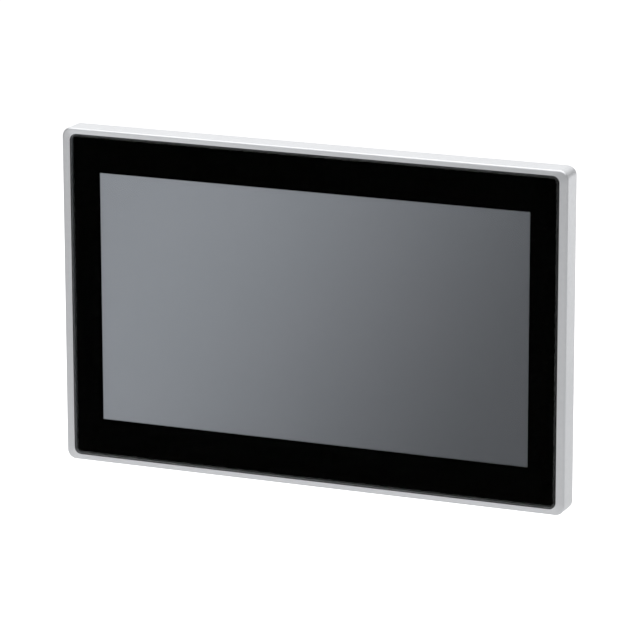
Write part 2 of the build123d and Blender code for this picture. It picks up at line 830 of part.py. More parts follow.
def serial_jackscrews():
    """The two hexagonal posts beside the serial connector, threaded for a plug's screws."""
    y = board_rear + serial_size[1] / 2
    posts = []
    for side in (-1, 1):
        x = serial_x + side * jackscrew_spacing / 2
        outside = Plane(origin=(x, y, floor_outside), z_dir=(0, 0, -1))
        hexagon = RegularPolygon(jackscrew_flats / 2, 6, major_radius=False)
        post = extrude(outside * hexagon, amount=jackscrew_length)
        post += extrude(outside * Circle(jackscrew_hole_radius),
                        amount=-(housing_wall + serial_flange + connector_wall))
        mouth = Plane(origin=(x, y, floor_outside - jackscrew_length - 1))
        posts.append(post - extrude(mouth * Circle(m3_radius), amount=jackscrew_length))
    return group(posts)


def network_jacks():
    def jack(x):
        body = connector_body(x, network_size)
        middle = board_rear + network_size[1] / 2
        depth = (floor_outside - 1, floor_outside + network_mouth_depth)
        body -= block(centred(x, network_mouth_width), centred(middle, network_mouth_height), depth)
        latch_top = middle + network_mouth_height / 2 + network_latch_height
        return body - block(centred(x, network_latch_width), (middle, latch_top), depth)

    return group([jack(network_left_x), jack(network_right_x)])


def usb_sockets():
    """Two type A sockets, one above the other, in one shell."""
    body = connector_body(usb_x, usb_size)
    for level in (-0.5, 0.5):
        middle = board_rear + usb_size[1] / 2 + level * usb_level_pitch
        body -= block(centred(usb_x, usb_mouth_width), centred(middle, usb_mouth_height),
                      (floor_outside - 1, floor_outside + usb_mouth_depth))
        tongue_y = middle + usb_mouth_height / 2 - usb_tongue_thickness
        body += block(centred(usb_x, usb_tongue_width), (tongue_y - usb_tongue_thickness / 2,
                      tongue_y + usb_tongue_thickness / 2),
                      (floor_outside + connector_wall, floor_outside + usb_mouth_depth + connector_wall))
    return body


def reset_switch():
    body = connector_body(reset_x, reset_size, floor_inside + connector_wall)
    y = board_rear + reset_size[1] / 2
    bore = Plane(origin=(reset_x, y, floor_outside))
    depth = button_inset + button_depth + button_travel + connector_wall / 2
    return body - extrude(bore * Circle(button_radius + button_clearance), amount=depth)


def reset_button():
    y = board_rear + reset_size[1] / 2
    face = Plane(origin=(reset_x, y, floor_outside + button_inset))
    return extrude(face * Circle(button_radius), amount=button_depth)


# ---- Storage card -----------------------------------------------------------------------------------
def card_socket():
    width = card_width + 2 * (card_clearance + card_socket_wall)
    height = card_thickness + 2 * (card_clearance + card_socket_wall)
    near = card_end + card_out
    body = block((near, near + card_socket_length), (board_rear, board_rear + height), centred(card_z, width))
    room = card_clearance * 2
    return body - block((near - 1, card_end + card_length + room), centred(card_y, card_thickness + room),
                        centred(card_z, card_width + room))


def storage_card():
    body = block((card_end, card_end + card_length), centred(card_y, card_thickness),
                 centred(card_z, card_width))
    corner = body.edges().filter_by(Axis.Y).sort_by(lambda edge: edge.center().X + edge.center().Z)[-1]
    return chamfer(corner, card_corner)


# ---- Coin cell and setting switches ------------------------------------------------------------------
def battery_holder():
    x, z = service_x + cell_x, service_z
    top = board_rear + cell_holder_floor + cell_height
    body = rod(cell_radius + cell_clearance + cell_holder_wall, board_rear, top, x, z)
    body -= rod(cell_radius + cell_clearance, board_rear + cell_holder_floor, top + 1, x, z)
    return body - block(centred(x, cell_radius), (board_rear + cell_holder_floor, top + 1),
                        (z - 2 * cell_radius, z))


def battery():
    front = board_rear + cell_holder_floor
    body = rod(cell_radius, front, front + cell_height, service_x + cell_x, service_z)
    return chamfer(body.edges().sort_by(Axis.Y)[-1], cell_edge)


def slider_place(way):
    return service_x + switch_x + (way - (switch_ways - 1) / 2) * switch_pitch


def dip_switch():
    x = service_x + switch_x
    rear = board_rear + switch_height
    body = plate(switch_ways * switch_pitch + 2 * switch_end, switch_length, board_rear, rear, x, service_z)
    width = slider_width + 2 * slider_clearance
    length = slider_length + slider_travel + 2 * slider_clearance
    for way in range(switch_ways):
        body -= plate(width, length, rear - slider_height / 2 - slider_clearance, rear + 1,
                      slider_place(way), service_z)
    return body


def dip_slider(way):
    """A slider resting at the lower end of its slot."""
    rear = board_rear + switch_height
    return plate(slider_width, slider_length, rear - slider_height / 2, rear + slider_height / 2,
                 slider_place(way), service_z - slider_travel / 2)


# ---- Flexible tails and touch controller -----------------------------------------------------------
def tail(points, x, width, thickness):
    """A flat flexible tail that follows a bent line of (depth, height) points."""
    strip = trace(FilletPolyline(*points, radius=tail_bend), thickness)
    side = Plane(origin=(x, 0, 0), x_dir=(0, 1, 0), z_dir=(1, 0, 0))
    return extrude(side * strip, amount=width / 2, both=True)


def lcd_flex():
    depth = display_rear + display_tail_thickness / 2
    start = display_tail_z - display_tail_bond
    points = [(depth, start), (depth, display_tail_z), (board_front, display_tail_z)]
    return tail(points, display_tail_x, display_tail_width, display_tail_thickness)


def touch_flex():
    low = -display_height / 2 - display_gap / 2
    depth = (display_rear + plate_front) / 2
    points = [(sensor_rear, low), (depth, low), (depth, touch_tail_z), (plate_rear + controller_gap, touch_tail_z)]
    return tail(points, touch_tail_x, touch_tail_width, touch_tail_thickness)


def touch_controller():
    """The touch sensor's own small board, on four feet, with its chip on the rear."""
    front = plate_rear + controller_gap
    rear = front + controller_thickness
    body = plate(controller_width, controller_height, front, rear, touch_tail_x, touch_tail_z)
    body += plate(controller_chip, controller_chip, rear, rear + controller_thickness, touch_tail_x, touch_tail_z)
    foot_x, foot_z = controller_width / 2 - controller_foot, controller_height / 2 - controller_foot
    for x in (-foot_x, foot_x):
        for z in (-foot_z, foot_z):
            body += rod(controller_foot, plate_rear, front, touch_tail_x + x, touch_tail_z + z)
    return body


# ---- Swing clamps -----------------------------------------------------------------------------------
def clamp_ears():
    """Four ears riveted to the housing's sides, each bored for a clamp screw's journal."""
    return group(clamp_ear(side, z) for side, z in clamps)


def clamp_ear(side, z):
    wall, base_face = housing_width / 2, housing_width / 2 + ear_base_thickness
    body = rod(ear_radius, ear_front, ear_rear, side * clamp_x, z)
    height = centred(z, 2 * ear_radius)
    body += block(sorted((side * wall, side * clamp_x)), (ear_front, ear_rear), height)
    body += block(sorted((side * wall, side * base_face)), (ear_front, ear_front + ear_base_depth), height)
    middle = (ear_rear + ear_front + ear_base_depth) / 2
    for row in (-1, 1):
        place = Plane(origin=(side * wall, middle, z + row * rivet_spacing / 2), z_dir=(side, 0, 0))
        body += extrude(place * Circle(rivet_radius), amount=ear_base_thickness + rivet_head)
    return body - rod(clamp_journal_radius + clamp_journal_clearance, ear_front - 1, ear_rear + 1,
                      side * clamp_x, z)


def clamp_screw(side, z):
    x = side * clamp_x
    body = rod(clamp_screw_radius, plate_rear + clamp_screw_tip_gap, collar_front, x, z)
    body += rod(clamp_collar_radius, collar_front, collar_rear, x, z)
    body += rod(clamp_journal_radius, collar_rear, ear_rear + clamp_end_play, x, z)
    key_front = ear_rear + clamp_end_play - clamp_key_depth
    return body - prism(clamp_key_flats, key_front, ear_rear + 1, x, z)


def clamp_nut(side, z):
    x = side * clamp_x
    body = rod(clamp_nut_radius, arm_front - clamp_nut_lead, nut_flange_front, x, z)
    body += rod(clamp_nut_flange_radius, nut_flange_front, nut_rear, x, z)
    return body - rod(clamp_screw_radius + clamp_thread_clearance, 0, nut_rear + 1, x, z)


def clamp_lever(side, z):
    """The arm rests along the housing, downwards on the right and upwards on the left."""
    x = side * clamp_x
    tip = z - side * (clamp_arm_length - clamp_arm_width / 2)
    body = rod(clamp_hub_radius, arm_front, arm_rear, x, z)
    body += plate(clamp_arm_width, abs(tip - z), arm_front, arm_rear, x, (z + tip) / 2)
    body += rod(clamp_arm_width / 2, arm_front, arm_rear, x, tip)
    body += rod(clamp_foot_length / 2, clamp_rest, arm_front, x, tip)
    return body - rod(clamp_nut_radius + clamp_swing_clearance, 0, arm_rear + 1, x, z)


# ---- Write one STEP file for each node ----------------------------------------------------------------
single_pieces = [
    front_bezel, cover_glass, border_film, optical_adhesive, touch_sensor, glass_tape, panel_gasket,
    lcd_cushion, lcd_frame, lcd_cell, backlight, lcd_rear_tray, lcd_support_strips, lcd_flex, touch_flex,
    carrier_plate, plate_screws, standoffs, earth_stud, earth_nut,
    rear_housing, clamp_ears, housing_screws, rating_plate, service_door, card_door,
    main_board, board_screws, processor, thermal_pad, heat_sink, memory_chips, capacitors,
    touch_controller, dip_switch, battery_holder, battery, card_socket, storage_card,
    power_header, serial_socket, serial_jackscrews, network_jacks, usb_sockets, reset_switch, reset_button,
]
nodes = {make.__name__: make() for make in single_pieces}
for way in range(switch_ways):
    nodes[f"dip_slider_{way + 1}"] = dip_slider(way)
for number, (side, height) in enumerate(clamps, start=1):
    nodes[f"clamp_screw_{number}"] = clamp_screw(side, height)
    nodes[f"clamp_nut_{number}"] = clamp_nut(side, height)
    nodes[f"clamp_lever_{number}"] = clamp_lever(side, height)

os.makedirs("parts", exist_ok=True)
for name, piece in nodes.items():
    export_step(piece, f"parts/{name}.step")
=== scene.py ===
"""Finishes and fine detail for a panel-mounted operator touch screen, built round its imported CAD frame.

Everything is in metres, in the CAD frame: the screen faces -Y, +Z is up, +X is to the right of
someone facing the screen. Run as a script, it dresses every CAD node, adds the small pieces that the
CAD leaves out, and sets a plain studio round the panel.
"""

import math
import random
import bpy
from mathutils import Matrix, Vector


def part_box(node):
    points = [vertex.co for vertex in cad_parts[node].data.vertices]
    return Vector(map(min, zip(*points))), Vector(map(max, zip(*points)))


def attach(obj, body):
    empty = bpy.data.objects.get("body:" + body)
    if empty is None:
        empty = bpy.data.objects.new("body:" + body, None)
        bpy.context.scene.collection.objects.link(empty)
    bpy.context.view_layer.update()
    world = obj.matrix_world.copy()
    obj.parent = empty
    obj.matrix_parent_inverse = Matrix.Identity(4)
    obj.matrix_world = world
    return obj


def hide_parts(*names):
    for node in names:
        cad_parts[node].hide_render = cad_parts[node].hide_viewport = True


bl_info = {
    "name": "Touch Panel Builder",
    "version": (1, 0, 0),
    "blender": (4, 5, 0),
    "location": "View3D > Sidebar > Touch Panel",
    "description": "Finishes, threads, contacts and studio for a panel-mounted touch screen",
    "category": "Object",
}

import bmesh
import bpy
from mathutils import Matrix, Vector

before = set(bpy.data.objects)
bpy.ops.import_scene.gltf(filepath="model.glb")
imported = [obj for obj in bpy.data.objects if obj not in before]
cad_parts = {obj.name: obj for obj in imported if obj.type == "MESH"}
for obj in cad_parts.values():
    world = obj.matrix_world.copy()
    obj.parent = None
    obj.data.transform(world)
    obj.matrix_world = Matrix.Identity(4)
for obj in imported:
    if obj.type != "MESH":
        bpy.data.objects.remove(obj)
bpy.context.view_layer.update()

MM = 0.001
MICROMETRE = 0.000001
HAIR = 0.01 * MM  # air between faces that would otherwise lie in one plane
CLAMPS = (1, 2, 3, 4)
RIGHT_HAND, LEFT_HAND = 1, -1
RINGS_PER_TURN = 8  # along a thread
FLANK_SLOPE, CREST_SHARE = 1.4, 0.2  # a thread groove's flanks, and the flat left between grooves
LABEL_MARGIN = 1.8 * MM
CHIP_SIZES = ((1.6, 0.8), (1.0, 0.5), (2.0, 1.25), (3.2, 1.6))  # small parts' length and width, mm
CHIP_GAP = 0.4 * MM  # least room between them
CHIP_MARGIN = 3 * MM  # bare border round the board
CHIP_HEIGHT = 0.6  # of a small part's width
CAP_SHARE = 0.22  # of its length, under each tinned end
FLOOR_RADIUS = 14.0
FLOOR_GLOW = 0.62
BACKDROP_BRIGHTNESS = 1.05
WHITE = (1.0, 1.0, 1.0, 1.0)


# ---- Settings ---------------------------------------------------------------------------------------
def colour(name, description, default):
    return bpy.props.FloatVectorProperty(
        name=name, description=description, default=default, subtype="COLOR", size=3, min=0.0, max=1.0)


def length(name, description, default):
    return bpy.props.FloatProperty(
        name=name, description=description, default=default, unit="LENGTH", precision=5)


def share(name, description, default):
    return bpy.props.FloatProperty(
        name=name, description=description, default=default, min=0.0, max=1.0, subtype="FACTOR")


def power(name, description, default):
    return bpy.props.FloatProperty(name=name, description=description, default=default, unit="POWER")


def angle(name, description, default):
    return bpy.props.FloatProperty(
        name=name, description=description, default=math.radians(default), unit="ROTATION")


class PanelFinishes(bpy.types.PropertyGroup):
    bezel_light: colour("Frame, light", "Anodised aluminium where the grain is open", (0.72, 0.73, 0.745))
    bezel_dark: colour("Frame, dark", "Anodised aluminium where the grain is close", (0.67, 0.68, 0.70))
    print_black: colour("Border print", "Black printed behind the cover glass", (0.0012, 0.0012, 0.0013))
    # The screen's two tones are a painted reflection, light at the upper left and dark at the lower right;
    # the glow share makes the idle display give off painted light.
    painted_reflection_light: colour("Screen, light", "Idle display at its upper left", (0.272, 0.285, 0.312))
    painted_reflection_dark: colour("Screen, dark", "Idle display at its lower right", (0.079, 0.081, 0.090))
    painted_screen_glow: share("Screen glow", "Share of the idle display's tone that it gives off itself", 0.85)
    housing_light: colour("Housing, light", "Moulded housing, raised grain", (0.070, 0.074, 0.080))
    housing_dark: colour("Housing, dark", "Moulded housing, hollows of the grain", (0.046, 0.049, 0.054))
    board_green: colour("Board", "Solder mask over bare laminate", (0.012, 0.085, 0.035))
    board_trace: colour("Board traces", "Solder mask over copper", (0.022, 0.15, 0.06))
    plating: colour("Zinc plating", "Plated steel sheet and screws", (0.60, 0.62, 0.65))
    brass: colour("Brass", "Clamp nuts and pillars", (0.66, 0.50, 0.24))
    crown: share("Crown", "How far the rim's front tilts outwards", 0.2)
    glass_corner: length("Glass corner", "Corner radius of the cover glass", 0.0023)
    ground_border: length("Ground border", "Width of the ground border of the cover glass", 0.0007)
    wear: share("Edge wear", "How far edges are rubbed bright", 0.25)
    dust: share("Dust", "How much dust lies on what faces up", 0.05)


class PanelDetails(bpy.types.PropertyGroup):
    thread_pitch: length("Thread pitch", "Pitch of the clamp screws and the earth stud", 0.0007)
    thread_depth: length("Thread depth", "Depth of the thread's groove", 0.00038)
    clamp_radius: length("Clamp thread radius", "Outside radius of a clamp screw's thread", 0.002)
    journal_radius: length("Journal radius", "Part of a clamp screw that turns in its ear", 0.0026)
    journal_length: length("Journal length", "From the collar to the screw's rear end", 0.0032)
    collar_length: length("Collar length", "Collar in front of the ear", 0.0015)
    key_flats: length("Key size", "Across the flats of a clamp screw's socket", 0.0025)
    key_depth: length("Key depth", "Depth of a clamp screw's socket", 0.0022)
    stud_radius: length("Stud radius", "Outside radius of the earth stud's thread", 0.002)
    stud_head: length("Stud head", "Thickness of the earth stud's head", 0.0006)
    contact_width: length("Contact width", "Width of a contact wire in a network jack", 0.00036)
    contact_pitch: length("Contact pitch", "Between the contact wires of a network jack", 0.00102)
    lamp_width: length("Lamp width", "Width of a network jack's lamp", 0.0024)
    lamp_height: length("Lamp height", "Height of a network jack's lamp", 0.0013)
    small_parts: bpy.props.IntProperty(
        name="Small parts", description="Resistors and capacitors tried on the main board", default=260,
        min=0)
    seed: bpy.props.IntProperty(name="Seed", description="Places of the small parts", default=7)


class PanelStudio(bpy.types.PropertyGroup):
    azimuth: angle("Azimuth", "Camera's turn round the panel", 22.61)
    elevation: angle("Elevation", "Camera's height above the horizon", 14.59)
    roll: angle("Roll", "Camera's roll", -0.10)
    distance: length("Distance", "Camera's distance from its target", 1.4582)
    target: bpy.props.FloatVectorProperty(
        name="Target", description="Point that the camera looks at", default=(0.003476, -0.00825, -0.0001),
        subtype="XYZ", unit="LENGTH", precision=5)
    lens: bpy.props.FloatProperty(
        name="Lens", description="Focal length on a 36 mm sensor, in millimetres", default=245.30)
    floor_drop: length("Floor drop", "From the panel's lower edge to the floor", 0.19)
    surround: share("Surround", "Brightness of the surroundings as the panel sees them", 0.42)
    key: power("Key light", "Soft light low at the left", 0.38)
    top: power("Top light", "Soft light overhead", 11.0)
    low: power("Low light", "Soft light low behind the right side", 0.3)
    back: power("Back light", "Soft light behind the panel", 3.4)


def settings(context):
    scene = context.scene
    return scene.panel_finishes, scene.panel_details, scene.panel_studio


# ---- Node trees -------------------------------------------------------------------------------------
class Graph:
    """A short way to add and link nodes in one tree."""

    def __init__(self, tree):
        self.tree = tree

    def add(self, kind, inputs=None, **properties):
        node = self.tree.nodes.new(kind)
        for key, value in properties.items():
            setattr(node, key, value)
        for key, value in (inputs or {}).items():
            self.feed(node, key, value)
        return node

    def feed(self, node, key, value):
        socket = node.inputs[key]
        if isinstance(value, bpy.types.NodeSocket):
            self.tree.links.new(value, socket)
        else:
            socket.default_value = value

    def math(self, operation, *values, clamp=False):
        node = self.add("ShaderNodeMath", dict(enumerate(values)), operation=operation, use_clamp=clamp)
        return node.outputs[0]

    def vector(self, operation, *values, output="Vector"):
        node = self.add("ShaderNodeVectorMath", dict(enumerate(values)), operation=operation)
        return node.outputs[output]

    def mix(self, factor, a, b):
        node = self.add("ShaderNodeMix", data_type="RGBA")
        self.feed(node, 0, factor)
        self.feed(node, 6, a)
        self.feed(node, 7, b)
        return node.outputs[2]

    def fit(self, value, low, high, to_low=0.0, to_high=1.0, curve="LINEAR"):
        node = self.add("ShaderNodeMapRange", {
            "Value": value, "From Min": low, "From Max": high, "To Min": to_low, "To Max": to_high},
            interpolation_type=curve)
        return node.outputs[0]

    def place(self):
        """Where a point is in its own object."""
        return self.add("ShaderNodeTexCoord").outputs["Object"]

    def noise(self, vector, scale, detail=2.0, roughness=0.5):
        node = self.add("ShaderNodeTexNoise", {
            "Vector": vector, "Scale": scale, "Detail": detail, "Roughness": roughness})
        return node.outputs["Fac"]


def new_group(name, inputs, outputs):
    """An empty shader group with named sockets. Returns its graph, its inputs and its output node."""
    tree = bpy.data.node_groups.new(name, "ShaderNodeTree")
    for label, kind, value in inputs:
        socket = tree.interface.new_socket(label, in_out="INPUT", socket_type=kind)
        socket.default_value = value
    for label, kind in outputs:
        tree.interface.new_socket(label, in_out="OUTPUT", socket_type=kind)
    graph = Graph(tree)
    return graph, graph.add("NodeGroupInput").outputs, graph.add("NodeGroupOutput")


FLOAT, VECTOR, COLOR = "NodeSocketFloat", "NodeSocketVector", "NodeSocketColor"
GREY = (0.5, 0.5, 0.5, 1.0)


def grain_group():
    """Fine surface grain of one size, which can be drawn out along an axis."""
    g, inputs, out = new_group(
        "Fine grain",
        [("Size", FLOAT, 0.0003), ("Stretch", VECTOR, (1.0, 1.0, 1.0)), ("Detail", FLOAT, 3.0)],
        [("Fac", FLOAT), ("Height", FLOAT)])
    place = g.vector("MULTIPLY", g.place(), inputs["Stretch"])
    scale = g.math("DIVIDE", 1.0, inputs["Size"])
    fine = g.noise(place, scale, inputs["Detail"], 0.6)
    coarse = g.noise(place, g.math("MULTIPLY", scale, 0.23), 1.0)
    g.feed(out, "Fac", g.fit(coarse, 0.3, 0.7))
    g.feed(out, "Height", g.math("ADD", fine, g.math("MULTIPLY", coarse, 0.5)))
    return g.tree


def tone_group():
    """Colour that drifts slowly between two tones."""
    g, inputs, out = new_group(
        "Tone drift", [("Light", COLOR, GREY), ("Dark", COLOR, GREY), ("Size", FLOAT, 0.02)],
        [("Color", COLOR)])
    place = g.place()
    scale = g.math("DIVIDE", 1.0, inputs["Size"])
    drift = g.noise(place, scale, 3.0)
    speck = g.noise(place, g.math("MULTIPLY", scale, 31.0), 1.0)
    factor = g.math("ADD", g.math("MULTIPLY", drift, 0.65), g.math("MULTIPLY", speck, 0.35))
    g.feed(out, "Color", g.mix(g.fit(factor, 0.32, 0.68), inputs["Dark"], inputs["Light"]))
    return g.tree


def wear_group():
    """A mask along outside edges, broken up as rubbing breaks it up."""
    g, inputs, out = new_group(
        "Edge wear", [("Radius", FLOAT, 0.0003), ("Breakup", FLOAT, 0.002), ("Amount", FLOAT, 0.3)],
        [("Mask", FLOAT)])
    rounded = g.add("ShaderNodeBevel", {"Radius": inputs["Radius"]}, samples=4).outputs[0]
    flat = g.add("ShaderNodeNewGeometry").outputs["Normal"]
    turn = g.math("SUBTRACT", 1.0, g.vector("DOT_PRODUCT", rounded, flat, output="Value"))
    edge = g.fit(turn, 0.02, 0.22)
    place = g.place()
    broken = g.fit(g.noise(place, g.math("DIVIDE", 1.0, inputs["Breakup"]), 4.0, 0.65), 0.35, 0.65)
    g.feed(out, "Mask", g.math("MULTIPLY", g.math("MULTIPLY", edge, broken), inputs["Amount"], clamp=True))
    return g.tree


def dust_group():
    """A mask of thin dust on what faces up."""
    g, inputs, out = new_group(
        "Settled dust", [("Size", FLOAT, 0.004), ("Amount", FLOAT, 0.1)], [("Mask", FLOAT)])
    normal = g.add("ShaderNodeNewGeometry").outputs["Normal"]
    up = g.fit(g.vector("DOT_PRODUCT", normal, (0.0, 0.0, 1.0), output="Value"), 0.1, 0.95)
    place = g.place()
    scale = g.math("DIVIDE", 1.0, inputs["Size"])
    cloud = g.fit(g.noise(place, scale, 4.0), 0.35, 0.75)
    speck = g.fit(g.noise(place, g.math("MULTIPLY", scale, 18.0), 2.0), 0.55, 0.7)
    haze = g.math("ADD", g.math("MULTIPLY", cloud, 0.7), g.math("MULTIPLY", speck, 0.5))
    g.feed(out, "Mask", g.math("MULTIPLY", g.math("MULTIPLY", haze, up), inputs["Amount"], clamp=True))
    return g.tree


def painted_reflection_group():
    """Painted reflection: colour that falls off across an upright rectangle, from its upper left to its lower
    right, in place of the sheen of a soft light on the screen.
    """
    g, inputs, out = new_group(
        "Painted screen reflection",
        [("Light", COLOR, GREY), ("Dark", COLOR, GREY), ("Width", FLOAT, 0.154), ("Height", FLOAT, 0.086)],
        [("Color", COLOR)])
    place = g.place()
    part = g.add("ShaderNodeSeparateXYZ", {0: place})
    across = g.math("ADD", g.math("DIVIDE", part.outputs["X"], inputs["Width"]), 0.5)
    down = g.math("SUBTRACT", 0.5, g.math("DIVIDE", part.outputs["Z"], inputs["Height"]))
    far = g.math("ADD", across, g.math("MULTIPLY", down, 0.3))
    fall = g.fit(far, 0.13, 1.28, curve="SMOOTHSTEP")
    # fine noise in the painted reflection
    grain = g.fit(g.noise(place, 9000.0, 1.0), 0.3, 0.7, -0.012, 0.012)
    g.feed(out, "Color", g.mix(g.math("ADD", fall, grain, clamp=True), inputs["Light"], inputs["Dark"]))
    return g.tree


RIM_INPUTS = [("Half width", FLOAT, 0.088), ("Half height", FLOAT, 0.056), ("Corner", FLOAT, 0.0023)]


def rim_group():
    """Which way is out from an upright sheet with round corners, and how far out of its core a point is."""
    g, inputs, out = new_group("Round rim", RIM_INPUTS, [("Outward", VECTOR), ("Distance", FLOAT)])
    place = g.add("ShaderNodeSeparateXYZ", {0: g.place()})
    aside = []
    for axis, half in (("X", "Half width"), ("Z", "Half height")):
        core = g.math("SUBTRACT", inputs[half], inputs["Corner"])
        beyond = g.math("MAXIMUM", g.math("SUBTRACT", g.math("ABSOLUTE", place.outputs[axis]), core), 0.0)
        aside.append(g.math("MULTIPLY", g.math("SIGN", place.outputs[axis]), beyond))
    offset = g.add("ShaderNodeCombineXYZ", {"X": aside[0], "Z": aside[1]}).outputs[0]
    g.feed(out, "Outward", g.vector("NORMALIZE", offset))
    g.feed(out, "Distance", g.vector("LENGTH", offset, output="Value"))
    return g.tree


def crown_group():
    """Tilts the normals of a flat front outwards round its opening, as on a slightly crowned rim."""
    g, inputs, out = new_group("Crowned rim", [*RIM_INPUTS, ("Tilt", FLOAT, 0.2)], [("Normal", VECTOR)])
    rim = effect(g, "rim", **{label: inputs[label] for label, _, _ in RIM_INPUTS})
    normal = g.add("ShaderNodeNewGeometry").outputs["Normal"]
    facing = g.fit(g.vector("DOT_PRODUCT", normal, (0.0, -1.0, 0.0), output="Value"), 0.9, 0.98)
    beyond = g.math("GREATER_THAN", rim["Distance"], inputs["Corner"])
    tilt = g.math("MULTIPLY", g.math("MULTIPLY", facing, beyond), inputs["Tilt"])
    lean = g.add("ShaderNodeVectorMath", {0: rim["Outward"], "Scale": tilt}, operation="SCALE").outputs[0]
    g.feed(out, "Normal", g.vector("NORMALIZE", g.vector("ADD", normal, lean)))
    return g.tree


def ground_edge_group():
    """A mask on the ground border of an upright sheet of glass."""
    g, inputs, out = new_group("Ground edge", [*RIM_INPUTS, ("Border", FLOAT, 0.0007)], [("Mask", FLOAT)])
    rim = effect(g, "rim", **{label: inputs[label] for label, _, _ in RIM_INPUTS})
    inner = g.math("SUBTRACT", inputs["Corner"], inputs["Border"])
    g.feed(out, "Mask", g.math("GREATER_THAN", rim["Distance"], inner))
    return g.tree


def traces_group():
    """Copper tracks and pads under solder mask, on an upright board."""
    g, inputs, out = new_group(
        "Board tracks", [("Pitch", FLOAT, 0.0012)], [("Mask", FLOAT), ("Pads", FLOAT), ("Height", FLOAT)])
    place = g.place()
    density = g.math("DIVIDE", 1.0, inputs["Pitch"])
    scaled = g.add("ShaderNodeVectorMath", {0: place, "Scale": density}, operation="SCALE")
    part = g.add("ShaderNodeSeparateXYZ", {0: scaled.outputs[0]})
    bend = g.math("MULTIPLY", g.math("ROUND", g.noise(place, 60.0, 0.0)), part.outputs["X"])
    run = g.math("ADD", part.outputs["Z"], bend)
    line = g.math("ABSOLUTE", g.math("SUBTRACT", g.math("FRACT", run), 0.5))
    gate = g.math("GREATER_THAN", g.noise(place, 90.0, 1.0), 0.5)
    mask = g.math("MULTIPLY", g.math("GREATER_THAN", line, 0.33), gate)
    cells = g.add("ShaderNodeTexVoronoi", {"Vector": place, "Scale": 420.0})
    pads = g.math("LESS_THAN", cells.outputs["Distance"], 0.14)
    g.feed(out, "Mask", mask)
    g.feed(out, "Pads", pads)
    g.feed(out, "Height", g.math("MAXIMUM", mask, pads))
    return g.tree


def label_group():
    """Ruled boxes of an unfilled rating plate: thin lines at fixed places round a centre."""
    g, inputs, out = new_group(
        "Ruled label",
        [("Centre X", FLOAT, 0.0), ("Centre Z", FLOAT, 0.0), ("Width", FLOAT, 0.05), ("Height", FLOAT, 0.03),
         ("Line", FLOAT, 0.00035)],
        [("Mask", FLOAT)])
    place = g.add("ShaderNodeSeparateXYZ", {0: g.place()})
    half = g.math("MULTIPLY", inputs["Line"], 0.5)
    x = g.math("SUBTRACT", place.outputs["X"], inputs["Centre X"])
    z = g.math("SUBTRACT", place.outputs["Z"], inputs["Centre Z"])
    off_x, off_z = g.math("ABSOLUTE", x), g.math("ABSOLUTE", z)
    x_end = g.math("SUBTRACT", g.math("MULTIPLY", inputs["Width"], 0.5), LABEL_MARGIN)
    z_end = g.math("SUBTRACT", g.math("MULTIPLY", inputs["Height"], 0.5), LABEL_MARGIN)
    inside = g.math("MULTIPLY", g.math("LESS_THAN", off_x, g.math("ADD", x_end, half)),
                    g.math("LESS_THAN", off_z, g.math("ADD", z_end, half)))
    sides = g.math("LESS_THAN", g.math("ABSOLUTE", g.math("SUBTRACT", off_x, x_end)), half)
    row = g.math("MULTIPLY", z_end, 0.5)
    row_count = g.math("ADD", g.math("DIVIDE", g.math("ADD", z, z_end), row), 0.5)
    off_rule = g.math("ABSOLUTE", g.math("SUBTRACT", g.math("FRACT", row_count), 0.5))
    rules = g.math("LESS_THAN", g.math("MULTIPLY", off_rule, row), half)
    column = g.math("LESS_THAN", g.math("ABSOLUTE", g.math("ADD", x, g.math("MULTIPLY", x_end, 0.3))), half)
    lines = g.math("MAXIMUM", g.math("MAXIMUM", sides, rules), column)
    g.feed(out, "Mask", g.math("MULTIPLY", lines, inside))
    return g.tree


GROUP_MAKERS = {
    "grain": grain_group, "tone": tone_group, "wear": wear_group, "dust": dust_group, "painted_reflection": painted_reflection_group,
    "rim": rim_group, "crown": crown_group, "ground": ground_edge_group, "traces": traces_group,
    "label": label_group}
GROUPS = {}


def effect(g, name, **inputs):
    """One of the shared groups, placed in a tree with its own values."""
    if name not in GROUPS:
        GROUPS[name] = GROUP_MAKERS[name]()
    return g.add("ShaderNodeGroup", inputs, node_tree=GROUPS[name]).outputs


def rgba(value):
    return (*value[:3], 1.0)


# ---- Finishes ---------------------------------------------------------------------------------------
GOLD = ((0.85, 0.62, 0.25), (0.72, 0.51, 0.19), (0.16, 0.3), 1, 200, 2)

